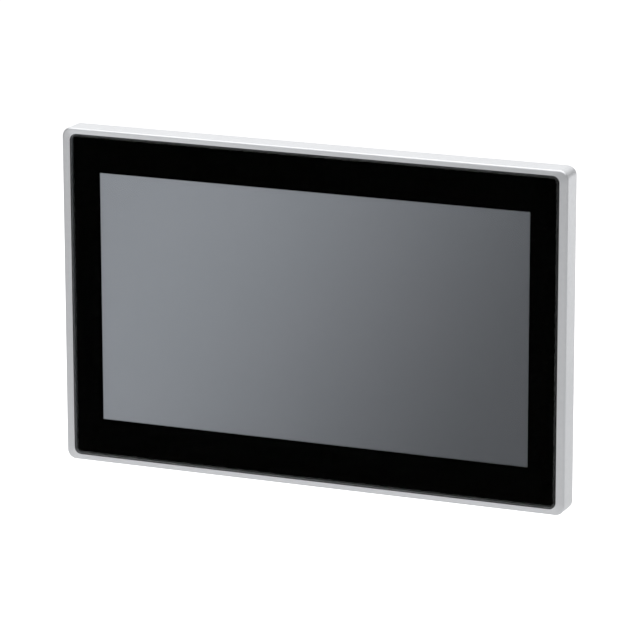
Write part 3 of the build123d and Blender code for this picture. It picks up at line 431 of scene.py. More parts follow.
# Light tone, dark tone, least and most roughness, size of the drift in millimetres, and size and height of
# the grain in micrometres. Tones are None where the settings give them.
FINISHES = {
    "Satin anodised aluminium": (None, None, (0.36, 0.44), 50, 160, 2.2),
    "Cover glass": ((0.95, 0.96, 0.96), (0.93, 0.95, 0.95), (0.01, 0.035), 30, 6000, 0.3),
    "Black border print": (None, None, (0.5, 0.6), 4, 200, 1),
    "Clear adhesive": ((0.9, 0.9, 0.9), (0.86, 0.87, 0.87), (0.08, 0.14), 20, 1000, 0.5),
    "Sensor glass": ((0.80, 0.84, 0.84), (0.76, 0.80, 0.81), (0.08, 0.14), 10, 800, 0.5),
    "Closed-cell foam": ((0.055, 0.055, 0.057), (0.03, 0.03, 0.032), (0.8, 0.95), 2, 200, 40),
    "Seal rubber": ((0.035, 0.035, 0.036), (0.022, 0.022, 0.023), (0.6, 0.75), 6, 150, 8),
    "Display cell with painted glow": ((0.2, 0.2, 0.2), (0.18, 0.18, 0.18), (0.45, 0.55), 20, 100, 1),
    "Light guide": ((0.80, 0.80, 0.79), (0.74, 0.74, 0.73), (0.3, 0.4), 4, 400, 4),
    "Display steel": ((0.58, 0.59, 0.60), (0.48, 0.49, 0.50), (0.26, 0.42), 8, 200, 3),
    "Moulded housing": (None, None, (0.42, 0.6), 30, 350, 40),
    "Zinc-plated sheet": (None, None, (0.26, 0.38), 9, 400, 3),
    "Zinc-plated screws": (None, None, (0.2, 0.36), 2, 300, 3),
    "Unfilled rating label": ((0.70, 0.71, 0.72), (0.62, 0.63, 0.64), (0.32, 0.42), 10, 300, 3),
    "Solder mask": (None, None, (0.25, 0.35), 10, 300, 2),
    "Moulded chip": ((0.032, 0.032, 0.034), (0.02, 0.02, 0.021), (0.5, 0.65), 2, 100, 6),
    "Thermal pad": ((0.40, 0.43, 0.50), (0.33, 0.36, 0.43), (0.7, 0.85), 2, 300, 20),
    "Black anodised fins": ((0.045, 0.045, 0.048), (0.03, 0.03, 0.032), (0.38, 0.5), 10, 200, 4),
    "Capacitor can": ((0.62, 0.63, 0.65), (0.52, 0.53, 0.55), (0.22, 0.35), 3, 200, 3),
    "Switch body": ((0.06, 0.16, 0.42), (0.045, 0.125, 0.34), (0.4, 0.5), 3, 100, 4),
    "Dark switch body": ((0.05, 0.05, 0.052), (0.035, 0.035, 0.036), (0.4, 0.55), 3, 100, 4),
    "White actuator": ((0.80, 0.80, 0.77), (0.72, 0.72, 0.69), (0.35, 0.5), 1, 100, 3),
    "Bright cell": ((0.66, 0.67, 0.68), (0.62, 0.63, 0.64), (0.22, 0.3), 20, 200, 1.5),
    "Nickel-plated shell": ((0.62, 0.61, 0.58), (0.52, 0.51, 0.48), (0.22, 0.38), 4, 300, 3),
    "Green connector": ((0.03, 0.19, 0.075), (0.022, 0.145, 0.055), (0.4, 0.52), 5, 200, 6),
    "Amber film": ((0.46, 0.24, 0.05), (0.38, 0.19, 0.035), (0.2, 0.32), 4, 800, 4),
    "Nickel-plated pillars": ((0.66, 0.62, 0.52), (0.56, 0.52, 0.43), (0.2, 0.34), 3, 300, 3),
    "Die-cast zinc": ((0.50, 0.51, 0.53), (0.40, 0.41, 0.43), (0.38, 0.55), 4, 350, 20),
    "Turned brass": (None, None, (0.2, 0.34), 2, 200, 4),
    "Plated thread": ((0.58, 0.59, 0.61), (0.42, 0.43, 0.45), (0.22, 0.38), 2, 200, 3),
    "Gold contacts": GOLD,
    "Gold strips": GOLD,
    "Green lamp lens": ((0.10, 0.42, 0.14), (0.07, 0.34, 0.10), (0.12, 0.22), 1, 400, 4),
    "Amber lamp lens": ((0.62, 0.34, 0.05), (0.52, 0.27, 0.03), (0.12, 0.22), 1, 400, 4),
    "Tongue": ((0.75, 0.75, 0.73), (0.68, 0.68, 0.66), (0.35, 0.5), 2, 100, 3),
    "Chip resistor": ((0.03, 0.03, 0.035), (0.02, 0.02, 0.022), (0.35, 0.5), 2, 100, 3),
    "Ceramic capacitor": ((0.42, 0.30, 0.19), (0.34, 0.24, 0.15), (0.4, 0.55), 1, 100, 3),
    "Tinned ends": ((0.66, 0.66, 0.65), (0.55, 0.55, 0.54), (0.2, 0.35), 0.5, 200, 4),
}
DUST_TONE = (0.55, 0.53, 0.50)
RUBBED_METAL = (0.85, 0.85, 0.85)


def shades(tone, factor):
    """A tone and a darker one."""
    return tone, [factor * part for part in tone]


def finish(name, tones=None, metallic=0.0, stretch=(1.0, 1.0, 1.0), wear=None, dust=0.0, **sockets):
    """A material with drifting tone, grained roughness and relief, and edge wear and dust where asked for."""
    light, dark, rough, drift, grain, height = FINISHES[name]
    light, dark = tones or (light, dark)
    material = bpy.data.materials.new(name)
    material.use_nodes = True
    g, shader = nodes_of(material)
    shader.inputs["Metallic"].default_value = metallic
    for key, value in sockets.items():
        shader.inputs[key.replace("_", " ")].default_value = value
    base = effect(g, "tone", Light=rgba(light), Dark=rgba(dark), Size=drift * MM)["Color"]
    if wear:
        radius, amount, worn = wear
        mask = effect(g, "wear", Radius=radius, Breakup=12.0 * radius, Amount=amount)["Mask"]
        base = g.mix(mask, base, rgba(worn))
    if dust:
        base = g.mix(effect(g, "dust", Size=4.0 * MM, Amount=dust)["Mask"], base, rgba(DUST_TONE))
    g.feed(shader, "Base Color", base)
    fine = effect(g, "grain", Size=grain * MICROMETRE, Stretch=stretch, Detail=3.0)
    g.feed(shader, "Roughness", g.fit(fine["Fac"], 0.0, 1.0, *rough))
    bump = g.add("ShaderNodeBump", {
        "Height": fine["Height"], "Distance": height * MICROMETRE, "Strength": 1.0})
    g.feed(shader, "Normal", bump.outputs[0])
    return material


def nodes_of(material):
    g = Graph(material.node_tree)
    return g, g.tree.nodes["Principled BSDF"]


def dress(material, *names):
    """Puts a material on CAD nodes, through their objects' own slots."""
    for name in names:
        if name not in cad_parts:
            raise RuntimeError(f"the frame has no node named {name}")
        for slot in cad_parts[name].material_slots:
            slot.link = "OBJECT"
            slot.material = material


def sink(depth, *names):
    """Draws a node's faces in by a hair, so that touching faces don't lie in one plane."""
    for name in names:
        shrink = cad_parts[name].modifiers.new("Hair of air", "DISPLACE")
        shrink.strength = -depth
        shrink.mid_level = 0.0


# ---- Mesh helpers -----------------------------------------------------------------------------------
def piece(name, mesh_maker, body, materials, smooth=40.0, bevel=None):
    """A new object from a bmesh, smooth up to an angle, riding on a body."""
    bm = bmesh.new()
    mesh_maker(bm)
    bmesh.ops.recalc_face_normals(bm, faces=bm.faces)
    mesh = bpy.data.meshes.new(name)
    bm.to_mesh(mesh)
    bm.free()
    if not mesh.polygons:
        raise RuntimeError(f"{name} has no faces")
    for material in materials:
        mesh.materials.append(material)
    mesh.shade_smooth()
    mesh.set_sharp_from_angle(angle=math.radians(smooth))
    obj = bpy.data.objects.new(name, mesh)
    bpy.context.scene.collection.objects.link(obj)
    if bevel:
        soften = obj.modifiers.new("Soft edges", "BEVEL")
        soften.width = bevel
        soften.segments = 2
        soften.limit_method = "ANGLE"
        soften.angle_limit = math.radians(35.0)
    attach(obj, body)
    return obj


def brick(bm, low, high, material=0):
    """A box between two corners."""
    corners = [bm.verts.new((x, y, z)) for x in (low[0], high[0]) for y in (low[1], high[1])
               for z in (low[2], high[2])]
    for face in ((0, 1, 3, 2), (4, 6, 7, 5), (0, 4, 5, 1), (2, 3, 7, 6), (0, 2, 6, 4), (1, 5, 7, 3)):
        bm.faces.new([corners[i] for i in face]).material_index = material


def lathe(bm, centre, rings, segments=48, shape=None):
    """Rings of (y, radius) round a Y axis, closed at both ends. shape changes a radius by y and angle."""
    loops = []
    for y, radius in rings:
        loop = []
        for step in range(segments):
            turn = 2.0 * math.pi * step / segments
            r = shape(y, turn, radius) if shape else radius
            loop.append(bm.verts.new((centre[0] + r * math.sin(turn), y, centre[1] + r * math.cos(turn))))
        loops.append(loop)
    for a, b in zip(loops, loops[1:]):
        for step in range(segments):
            after = (step + 1) % segments
            bm.faces.new((a[step], a[after], b[after], b[step]))
    bm.faces.new(loops[0][::-1])
    bm.faces.new(loops[-1])
    return loops


def thread_rings(front, rear, radius, pitch, depth):
    """Rings for a threaded stretch, tapered at both ends as a die leaves it."""
    steps = int((rear - front) / pitch * RINGS_PER_TURN)
    rings = []
    for step in range(steps + 1):
        y = front + (rear - front) * step / steps
        lead = min(1.0, (y - front) / pitch, (rear - y) / pitch)
        rings.append((y, radius - (1.0 - max(0.0, lead)) * depth))
    return rings


def thread_shape(front, rear, radius, pitch, depth, hand):
    """The radius on a helix of one start, right-handed for +1 and left-handed for -1."""
    def shape(y, turn, ring_radius):
        if not front - 1e-9 <= y <= rear + 1e-9:
            return ring_radius
        wave = abs(((y / pitch - hand * turn / (2.0 * math.pi)) % 1.0) * 2.0 - 1.0)
        groove = min(1.0, max(0.0, wave * FLANK_SLOPE - CREST_SHARE))
        return min(ring_radius, radius - depth * groove)
    return shape


def turned(name):
    """The box of a node turned round a Y axis, and the axis's x and z."""
    low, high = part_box(name)
    return low, high, ((low.x + high.x) / 2, (low.z + high.z) / 2)


# ---- Operators: finishes ----------------------------------------------------------------------------
class PANEL_OT_front(bpy.types.Operator):
    """Finish the front: anodised frame, cover glass, border print, display with a painted reflection and
    painted glow, seals
    """
    bl_idname = "touch_panel.front"
    bl_label = "Front"

    def execute(self, context):
        look, _, _ = settings(context)
        glass_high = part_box("cover_glass")[1]
        sheet = {"Half width": glass_high.x, "Half height": glass_high.z, "Corner": look.glass_corner}
        rim = finish("Satin anodised aluminium", (look.bezel_light, look.bezel_dark), metallic=0.92,
                     wear=(0.00035, look.wear * 0.5, (0.86, 0.87, 0.88)), dust=look.dust * 0.3)
        g, shader = nodes_of(rim)
        crown = effect(g, "crown", Tilt=look.crown, **sheet)
        g.feed(shader.inputs["Normal"].links[0].from_node, "Normal", crown["Normal"])
        dress(rim, "front_bezel")
        glass = finish("Cover glass", IOR=1.03, Transmission_Weight=1.0, Coat_Roughness=0.2)
        g, shader = nodes_of(glass)
        g.feed(shader, "Coat Weight", effect(g, "ground", Border=look.ground_border, **sheet)["Mask"])
        dress(glass, "cover_glass")
        dress(finish("Black border print", shades(look.print_black, 0.6), Specular_IOR_Level=0.0),
              "border_film")
        dress(finish("Clear adhesive", Alpha=0.01, Specular_IOR_Level=0.0), "optical_adhesive")
        dress(finish("Sensor glass", stretch=(1.0, 1.0, 0.2), Alpha=0.012, Specular_IOR_Level=0.0),
              "touch_sensor")
        sink(HAIR, "border_film", "optical_adhesive", "touch_sensor")
        self.dress_display(look)
        dress(finish("Closed-cell foam"), "glass_tape", "lcd_cushion", "lcd_support_strips")
        dress(finish("Seal rubber", dust=look.dust * 0.4), "panel_gasket")
        return {"FINISHED"}

    @staticmethod
    def dress_display(look):
        low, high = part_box("optical_adhesive")
        cell = finish("Display cell with painted glow", Specular_IOR_Level=0.0)
        g, shader = nodes_of(cell)
        # painted reflection on the idle display, light at its upper left and dark at its lower right
        painted_reflection = effect(g, "painted_reflection", Light=rgba(look.painted_reflection_light), Dark=rgba(look.painted_reflection_dark),
                       Width=high.x - low.x, Height=high.z - low.z)["Color"]
        # most of the painted reflection is given off as emission, a painted glow on a display that is off;
        # the rest stays in the base colour
        g.feed(shader, "Base Color", g.mix(look.painted_screen_glow, painted_reflection, (0.0, 0.0, 0.0, 1.0)))
        g.feed(shader, "Emission Color", painted_reflection)
        shader.inputs["Emission Strength"].default_value = look.painted_screen_glow
        dress(cell, "lcd_cell")
        dress(finish("Light guide", wear=(0.0002, 0.2, (0.9, 0.9, 0.9))), "backlight")
        dress(finish("Display steel", metallic=1.0, stretch=(0.08, 1.0, 1.0),
                     wear=(0.0002, look.wear, (0.75, 0.75, 0.75))), "lcd_frame", "lcd_rear_tray")


class PANEL_OT_housing(bpy.types.Operator):
    """Finish the rear: moulded housing and doors, plated plate and screws, and label"""
    bl_idname = "touch_panel.housing"
    bl_label = "Housing"

    def execute(self, context):
        look, _, _ = settings(context)
        dress(finish("Moulded housing", (look.housing_light, look.housing_dark), dust=look.dust,
                     wear=(0.0005, look.wear * 0.5, (0.14, 0.145, 0.15))),
              "rear_housing", "service_door", "card_door")
        dress(finish("Zinc-plated sheet", shades(look.plating, 0.88), metallic=1.0, dust=look.dust,
                     wear=(0.0003, look.wear, (0.8, 0.8, 0.8))), "carrier_plate", "clamp_ears")
        dress(finish("Zinc-plated screws", shades(look.plating, 0.7), metallic=1.0, dust=look.dust * 0.5,
                     wear=(0.0002, look.wear, RUBBED_METAL)),
              "plate_screws", "board_screws", "housing_screws", "earth_nut", "serial_jackscrews")
        label = finish("Unfilled rating label", metallic=0.55, stretch=(0.05, 1.0, 1.0), dust=look.dust)
        g, shader = nodes_of(label)
        low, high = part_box("rating_plate")
        mask = effect(g, "label", **{"Centre X": (low.x + high.x) / 2, "Centre Z": (low.z + high.z) / 2,
                                     "Width": high.x - low.x, "Height": high.z - low.z})["Mask"]
        base = shader.inputs["Base Color"].links[0].from_socket
        g.feed(shader, "Base Color", g.mix(mask, base, (0.03, 0.03, 0.035, 1.0)))
        dress(label, "rating_plate")
        return {"FINISHED"}


class PANEL_OT_electronics(bpy.types.Operator):
    """Finish the inside: boards, chips, heat sink, connectors, coin cell, switches, flexible tails"""
    bl_idname = "touch_panel.electronics"
    bl_label = "Electronics"

    def execute(self, context):
        look, _, _ = settings(context)
        board = finish("Solder mask", shades(look.board_green, 0.8), dust=look.dust * 0.5)
        g, shader = nodes_of(board)
        tracks = effect(g, "traces", Pitch=0.0011)
        base = shader.inputs["Base Color"].links[0].from_socket
        base = g.mix(tracks["Mask"], base, rgba(look.board_trace))
        g.feed(shader, "Base Color", g.mix(tracks["Pads"], base, (0.6, 0.58, 0.5, 1.0)))
        raised = g.add("ShaderNodeBump", {"Height": tracks["Height"], "Distance": 0.00003, "Strength": 1.0})
        g.feed(shader, "Normal", raised.outputs[0])
        dress(board, "main_board", "touch_controller")
        dress(finish("Moulded chip", dust=look.dust * 0.5), "processor", "memory_chips")
        dress(finish("Thermal pad"), "thermal_pad")
        dress(finish("Black anodised fins", metallic=0.7, stretch=(1.0, 1.0, 0.06), dust=look.dust,
                     wear=(0.0003, look.wear, (0.3, 0.3, 0.31))), "heat_sink")
        dress(finish("Switch body"), "dip_switch")
        dress(finish("Dark switch body"), "reset_switch", "battery_holder", "storage_card")
        dress(finish("White actuator", wear=(0.0002, 0.2, (0.6, 0.58, 0.54))),
              "dip_slider_1", "dip_slider_2", "reset_button")
        dress(finish("Green connector", wear=(0.0003, 0.25, (0.10, 0.30, 0.16))), "power_header")
        dress(finish("Amber film", stretch=(1.0, 1.0, 0.1)), "lcd_flex", "touch_flex")
        metal = {"metallic": 1.0, "wear": (0.0002, look.wear, RUBBED_METAL)}
        dress(finish("Capacitor can", **metal), "capacitors")
        dress(finish("Bright cell", stretch=(0.1, 1.0, 1.0), **metal), "battery")
        dress(finish("Nickel-plated shell", stretch=(1.0, 1.0, 0.2), **metal),
              "card_socket", "serial_socket", "network_jacks", "usb_sockets")
        dress(finish("Nickel-plated pillars", **metal), "standoffs")
        return {"FINISHED"}


class PANEL_OT_clamps(bpy.types.Operator):
    """Finish the clamps, and cut real threads on their screws and on the earth stud"""
    bl_idname = "touch_panel.clamps"
    bl_label = "Clamps and threads"

    def execute(self, context):
        look, sizes, _ = settings(context)
        lever = finish("Die-cast zinc", metallic=0.9, wear=(0.0004, look.wear, (0.78, 0.78, 0.78)),
                       dust=look.dust)
        nut = finish("Turned brass", shades(look.brass, 0.75), metallic=1.0, stretch=(1.0, 0.1, 1.0),
                     wear=(0.0002, look.wear, (0.85, 0.7, 0.4)))
        steel = finish("Plated thread", metallic=1.0, wear=(0.0002, look.wear, RUBBED_METAL),
                       dust=look.dust * 0.5)
        for number in CLAMPS:
            dress(lever, f"clamp_lever_{number}")
            dress(nut, f"clamp_nut_{number}")
            screw = self.threaded_screw(number, sizes, steel)
            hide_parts(f"clamp_screw_{number}")
        stud = self.threaded_stud(sizes, steel)
        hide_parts("earth_stud")
        return {"FINISHED"}

    @staticmethod
    def threaded_screw(number, sizes, material):
        low, high, centre = turned(f"clamp_screw_{number}")
        front, rear = low.y, high.y
        collar_radius = (high.x - low.x) / 2
        collar_rear = rear - sizes.journal_length
        collar_front = collar_rear - sizes.collar_length
        thread = (sizes.clamp_radius, sizes.thread_pitch, sizes.thread_depth)
        edge = 0.15 * MM

        def make(bm):
            rings = thread_rings(front, collar_front, *thread)
            rings += [(collar_front, collar_radius - edge), (collar_front + edge, collar_radius),
                      (collar_rear - edge, collar_radius), (collar_rear, collar_radius - edge),
                      (collar_rear, sizes.journal_radius), (rear - edge, sizes.journal_radius),
                      (rear, sizes.journal_radius - edge)]
            shape = thread_shape(front, collar_front - MICROMETRE, *thread, LEFT_HAND)
            loops = lathe(bm, centre, rings, shape=shape)
            key_socket(bm, loops[-1], centre, rear, sizes.key_flats, sizes.key_depth)

        return piece(f"threaded_clamp_screw_{number}", make, f"screw_{number}", [material],
                     smooth=50.0)

    @staticmethod
    def threaded_stud(sizes, material):
        low, high, centre = turned("earth_stud")
        head_radius, head_rear = (high.x - low.x) / 2, low.y + sizes.stud_head
        plate_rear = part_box("carrier_plate")[1].y
        groove_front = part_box("earth_nut")[1].y
        groove_rear = groove_front + 0.6 * MM
        thread_rear = high.y - 0.2 * MM
        radius, depth = sizes.stud_radius, sizes.thread_depth
        thread = (radius, sizes.thread_pitch, depth)

        def make(bm):
            rings = [(low.y, head_radius), (head_rear, head_radius), (head_rear, radius),
                     (plate_rear, radius)]
            rings += thread_rings(plate_rear + HAIR, groove_front, *thread)
            rings += [(groove_front + HAIR, radius - 1.1 * depth), (groove_rear, radius - 1.1 * depth)]
            rings += thread_rings(groove_rear + HAIR, thread_rear, *thread)
            rings += [(high.y, radius - 1.5 * depth)]
            lathe(bm, centre, rings, shape=thread_shape(plate_rear + HAIR, thread_rear, *thread, RIGHT_HAND))

        return piece("threaded_earth_stud", make, "panel", [material], smooth=50.0)


def key_socket(bm, loop, centre, y, flats, depth):
    """Replaces a lathe's rear end face with one that has a hexagonal socket."""
    chamfer = 0.1 * MM
    end = next(face for face in loop[0].link_faces if all(v in loop for v in face.verts))
    bmesh.ops.delete(bm, geom=[end], context="FACES_ONLY")
    corner = flats / math.sqrt(3.0)
    count = len(loop)

    def ring(at, lift):
        made = []
        for step in range(count):
            turn = 2.0 * math.pi * step / count
            wedge = (turn % (math.pi / 3.0)) - math.pi / 6.0
            r = corner * math.cos(math.pi / 6.0) / math.cos(wedge) + lift
            made.append(bm.verts.new((centre[0] + r * math.sin(turn), at, centre[1] + r * math.cos(turn))))
        return made

    rings = [loop, ring(y, chamfer), ring(y - chamfer, 0.0), ring(y - depth, 0.0)]
    for a, b in zip(rings, rings[1:]):
        for step in range(count):
            after = (step + 1) % count
            bm.faces.new((a[step], a[after], b[after], b[step]))
    tip = bm.verts.new((centre[0], y - depth - 0.3 * flats, centre[1]))
    for step in range(count):
        bm.faces.new((rings[-1][step], rings[-1][(step + 1) % count], tip))


# ---- Operators: added pieces --------------------------------------------------------------------------
# (y, z) points in millimetres: off the mouth's floor or the tongue's face, and in from the open face.
JACK_WIRE = ((0.3, 2.2), (0.6, 2.6), (2.9, 8.6), (2.6, 9.4), (0.3, 11.8))
TONGUE_STRIP = ((-0.02, 1.4), (-0.14, 1.9), (-0.14, 7.6), (-0.02, 8.2))
WIRE_THICKNESS, STRIP_THICKNESS = 0.22 * MM, 0.12 * MM
STRIP_WIDTH = 1.0 * MM
STRIP_SPACES = 4.6  # strip pitches in a tongue's width
TONGUE_TIP, TONGUE_ROOT = 0.7 * MM, 9.9 * MM  # in from a socket's open face
LAMP_RISE, LAMP_INSET = 1.5 * MM, 0.2 * MM  # off a jack's mouth, and in from its side
LENS_RISE = 0.18 * MM
JACK_WAYS = 8
TONGUE_WAYS = (-1.5, -0.5, 0.5, 1.5)


def path_from(y, z, points):
    """Points in millimetres, set down from a place in metres."""
    return [(y + off * MM, z + run * MM) for off, run in points]
class PANEL_OT_network(bpy.types.Operator):
    """Add the contact wires and lamps of the two network jacks"""
    bl_idname = "touch_panel.network"
    bl_label = "Network contacts"

    mouth_width: length("Mouth width", "Width of a jack's mouth", 0.0118)
    mouth_height: length("Mouth height", "Height of a jack's mouth off the board", 0.0069)
    jack_width: length("Jack width", "Width of one jack's shell", 0.016)

    def execute(self, context):
        _, sizes, _ = settings(context)
        low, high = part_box("network_jacks")
        centres = (low.x + self.jack_width / 2, high.x - self.jack_width / 2)
        middle = (low.y + high.y) / 2
        gold = finish("Gold contacts", metallic=1.0, stretch=(1.0, 1.0, 0.1),
                      wear=(0.0001, 0.4, (0.95, 0.8, 0.5)))

        def wires(bm):
            half = sizes.contact_width / 2
            for centre in centres:
                for way in range(JACK_WAYS):
                    x = centre + (way - (JACK_WAYS - 1) / 2) * sizes.contact_pitch
                    path = path_from(middle - self.mouth_height / 2, low.z, JACK_WIRE)
                    ribbon(bm, x - half, x + half, path, WIRE_THICKNESS)

        piece("network_contacts", wires, "panel", [gold], smooth=60.0)
        lenses = [finish(f"{tint} lamp lens", Coat_Weight=0.4) for tint in ("Green", "Amber")]

        def lamps(bm):
            y = middle + self.mouth_height / 2 + LAMP_RISE
            for centre in centres:
                for material, side in enumerate((-1, 1)):
                    x = centre + side * (self.mouth_width / 2 - LAMP_INSET)
                    lens(bm, (x, y, low.z), (sizes.lamp_width, sizes.lamp_height), LENS_RISE, material)

        piece("network_lamps", lamps, "panel", lenses, smooth=60.0)
        return {"FINISHED"}


def ribbon(bm, x_low, x_high, path, thickness):
    """A flat bent wire along (y, z) points, with both ends closed."""
    sections = []
    for index, (y, z) in enumerate(path):
        before, after = path[max(0, index - 1)], path[min(len(path) - 1, index + 1)]
        run = Vector((after[0] - before[0], after[1] - before[1])).normalized()
        across = Vector((-run.y, run.x)) * thickness / 2
        sections.append([bm.verts.new((x, y + s * across.x, z + s * across.y))
                         for x, s in ((x_low, -1), (x_high, -1), (x_high, 1), (x_low, 1))])
    for a, b in zip(sections, sections[1:]):
        for side in range(4):
            after = (side + 1) % 4
            bm.faces.new((a[side], a[after], b[after], b[side]))
    bm.faces.new(sections[0][::-1])
    bm.faces.new(sections[-1])


def lens(bm, place, size, rise, material):
    """A small domed rectangle that looks out of a face whose normal is -Z."""
    x, y, z = place
    count = 16
    loops = []
    for inset, drop in ((0.0, -0.4 * MM), (0.0, rise * 0.4), (0.08, rise * 0.8), (0.25, rise)):
        half_x, half_y = size[0] * (0.5 - inset), size[1] * (0.5 - inset)
        corner = 0.3 * min(half_x, half_y)
        loop = []
        for step in range(count):
            quarter, part = divmod(step, 4)
            turn = math.pi / 2 * (quarter + part / 3)
            sign_x, sign_y = ((1, 1), (-1, 1), (-1, -1), (1, -1))[quarter]
            loop.append(bm.verts.new((x + sign_x * (half_x - corner) + corner * math.cos(turn),
                                      y + sign_y * (half_y - corner) + corner * math.sin(turn), z - drop)))
        loops.append(loop)
    for a, b in zip(loops, loops[1:]):
        for step in range(count):
            after = (step + 1) % count
            bm.faces.new((a[step], a[after], b[after], b[step])).material_index = material
    bm.faces.new(loops[0][::-1]).material_index = material
    bm.faces.new(loops[-1]).material_index = material


class PANEL_OT_usb(bpy.types.Operator):
    """Add the contact strips on the tongues of the two USB sockets"""
    bl_idname = "touch_panel.usb"
    bl_label = "USB contacts"

    tongue_width: length("Tongue width", "Width of a socket's tongue", 0.0111)
    level_pitch: length("Level pitch", "Between the two sockets of the pair", 0.0072)
    mouth_height: length("Mouth height", "Height of a socket's mouth off the board", 0.0052)
    tongue_thickness: length("Tongue thickness", "Thickness of a socket's tongue", 0.0018)

    def execute(self, context):
        low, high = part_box("usb_sockets")
        middle, centre = (low.y + high.y) / 2, (low.x + high.x) / 2
        tongue = finish("Tongue")
        gold = finish("Gold strips", metallic=1.0, stretch=(1.0, 1.0, 0.1))
        roof_of = {level: middle + level * self.level_pitch + self.mouth_height / 2 for level in (-0.5, 0.5)}

        def strips(bm):
            for roof in roof_of.values():
                path = path_from(roof - 1.5 * self.tongue_thickness, low.z, TONGUE_STRIP)
                for way in TONGUE_WAYS:
                    x = centre + way * self.tongue_width / STRIP_SPACES
                    ribbon(bm, x - STRIP_WIDTH / 2, x + STRIP_WIDTH / 2, path, STRIP_THICKNESS)

        def sleeves(bm):
            skin = 0.03 * MM
            half_width, half = self.tongue_width / 2, self.tongue_thickness / 2 + skin
            for roof in roof_of.values():
                y = roof - self.tongue_thickness
                brick(bm, (centre - half_width - skin, y - half, low.z + TONGUE_TIP),
                      (centre + half_width + skin, y + half, low.z + TONGUE_ROOT))

        piece("usb_tongues", sleeves, "panel", [tongue], bevel=0.12 * MM)
        piece("usb_contacts", strips, "panel", [gold], smooth=60.0)
        return {"FINISHED"}


def half_millimetres(value):
    """A length, to the nearest half millimetre."""
    return round(value / MM * 2) * MM / 2


class PANEL_OT_small_parts(bpy.types.Operator):
    """Scatter chip resistors and capacitors over the free parts of the main board"""
    bl_idname = "touch_panel.small_parts"
    bl_label = "Small parts"

    def execute(self, context):
        _, sizes, _ = settings(context)
        board_low, board_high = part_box("main_board")
        face = board_high.y
        taken = [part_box(node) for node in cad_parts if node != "main_board"]
        taken = [(a, b) for a, b in taken if a.y < face + 1.2 * MM and b.y > face + 0.05 * MM
                 and b.x - a.x < 0.9 * (board_high.x - board_low.x)]
        taken += [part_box(node) for node in ("capacitors", "memory_chips", "processor", "battery_holder",
                                            "dip_switch")]
        placed = self.places(sizes, board_low, board_high, taken)

        def bodies(bm):
            tones = random.Random(sizes.seed + 1)
            for low, high in placed:
                top = face + min(high.x - low.x, high.z - low.z) * CHIP_HEIGHT
                along = 0 if high.x - low.x > high.z - low.z else 2
                cap = CAP_SHARE * (high[along] - low[along])
                inner_low, inner_high = Vector(low), Vector(high)
                inner_low[along] += cap
                inner_high[along] -= cap
                brick(bm, (inner_low.x, face, inner_low.z), (inner_high.x, top, inner_high.z),
                      tones.choice((0, 1)))
                first_high, last_low = Vector(high), Vector(low)
                first_high[along] = low[along] + cap
                last_low[along] = high[along] - cap
                for a, b in ((low, first_high), (last_low, high)):
                    brick(bm, (a.x, face, a.z), (b.x, top + 0.03 * MM, b.z), 2)

        materials = [finish("Chip resistor"), finish("Ceramic capacitor"),
                     finish("Tinned ends", metallic=1.0)]
        piece("board_small_parts", bodies, "panel", materials, bevel=0.05 * MM)
        return {"FINISHED"}

    @staticmethod
    def places(sizes, board_low, board_high, taken):
        """Boxes of small parts, flat on the board, that stay clear of what is taken and of each other."""
        dice = random.Random(sizes.seed)
        placed = []
        for _ in range(sizes.small_parts):
            size = dice.choice(CHIP_SIZES)
            across, up = size if dice.random() < 0.5 else size[::-1]
            x = half_millimetres(dice.uniform(board_low.x + CHIP_MARGIN, board_high.x - CHIP_MARGIN))
            z = half_millimetres(dice.uniform(board_low.z + CHIP_MARGIN, board_high.z - CHIP_MARGIN))
            half = Vector((across, 0.0, up)) * MM / 2
            low, high = Vector((x, 0, z)) - half, Vector((x, 0, z)) + half
            if not any(low.x - CHIP_GAP < b.x and a.x < high.x + CHIP_GAP and low.z - CHIP_GAP < b.z
                       and a.z < high.z + CHIP_GAP for a, b in taken + placed):
                placed.append((low, high))
        return placed


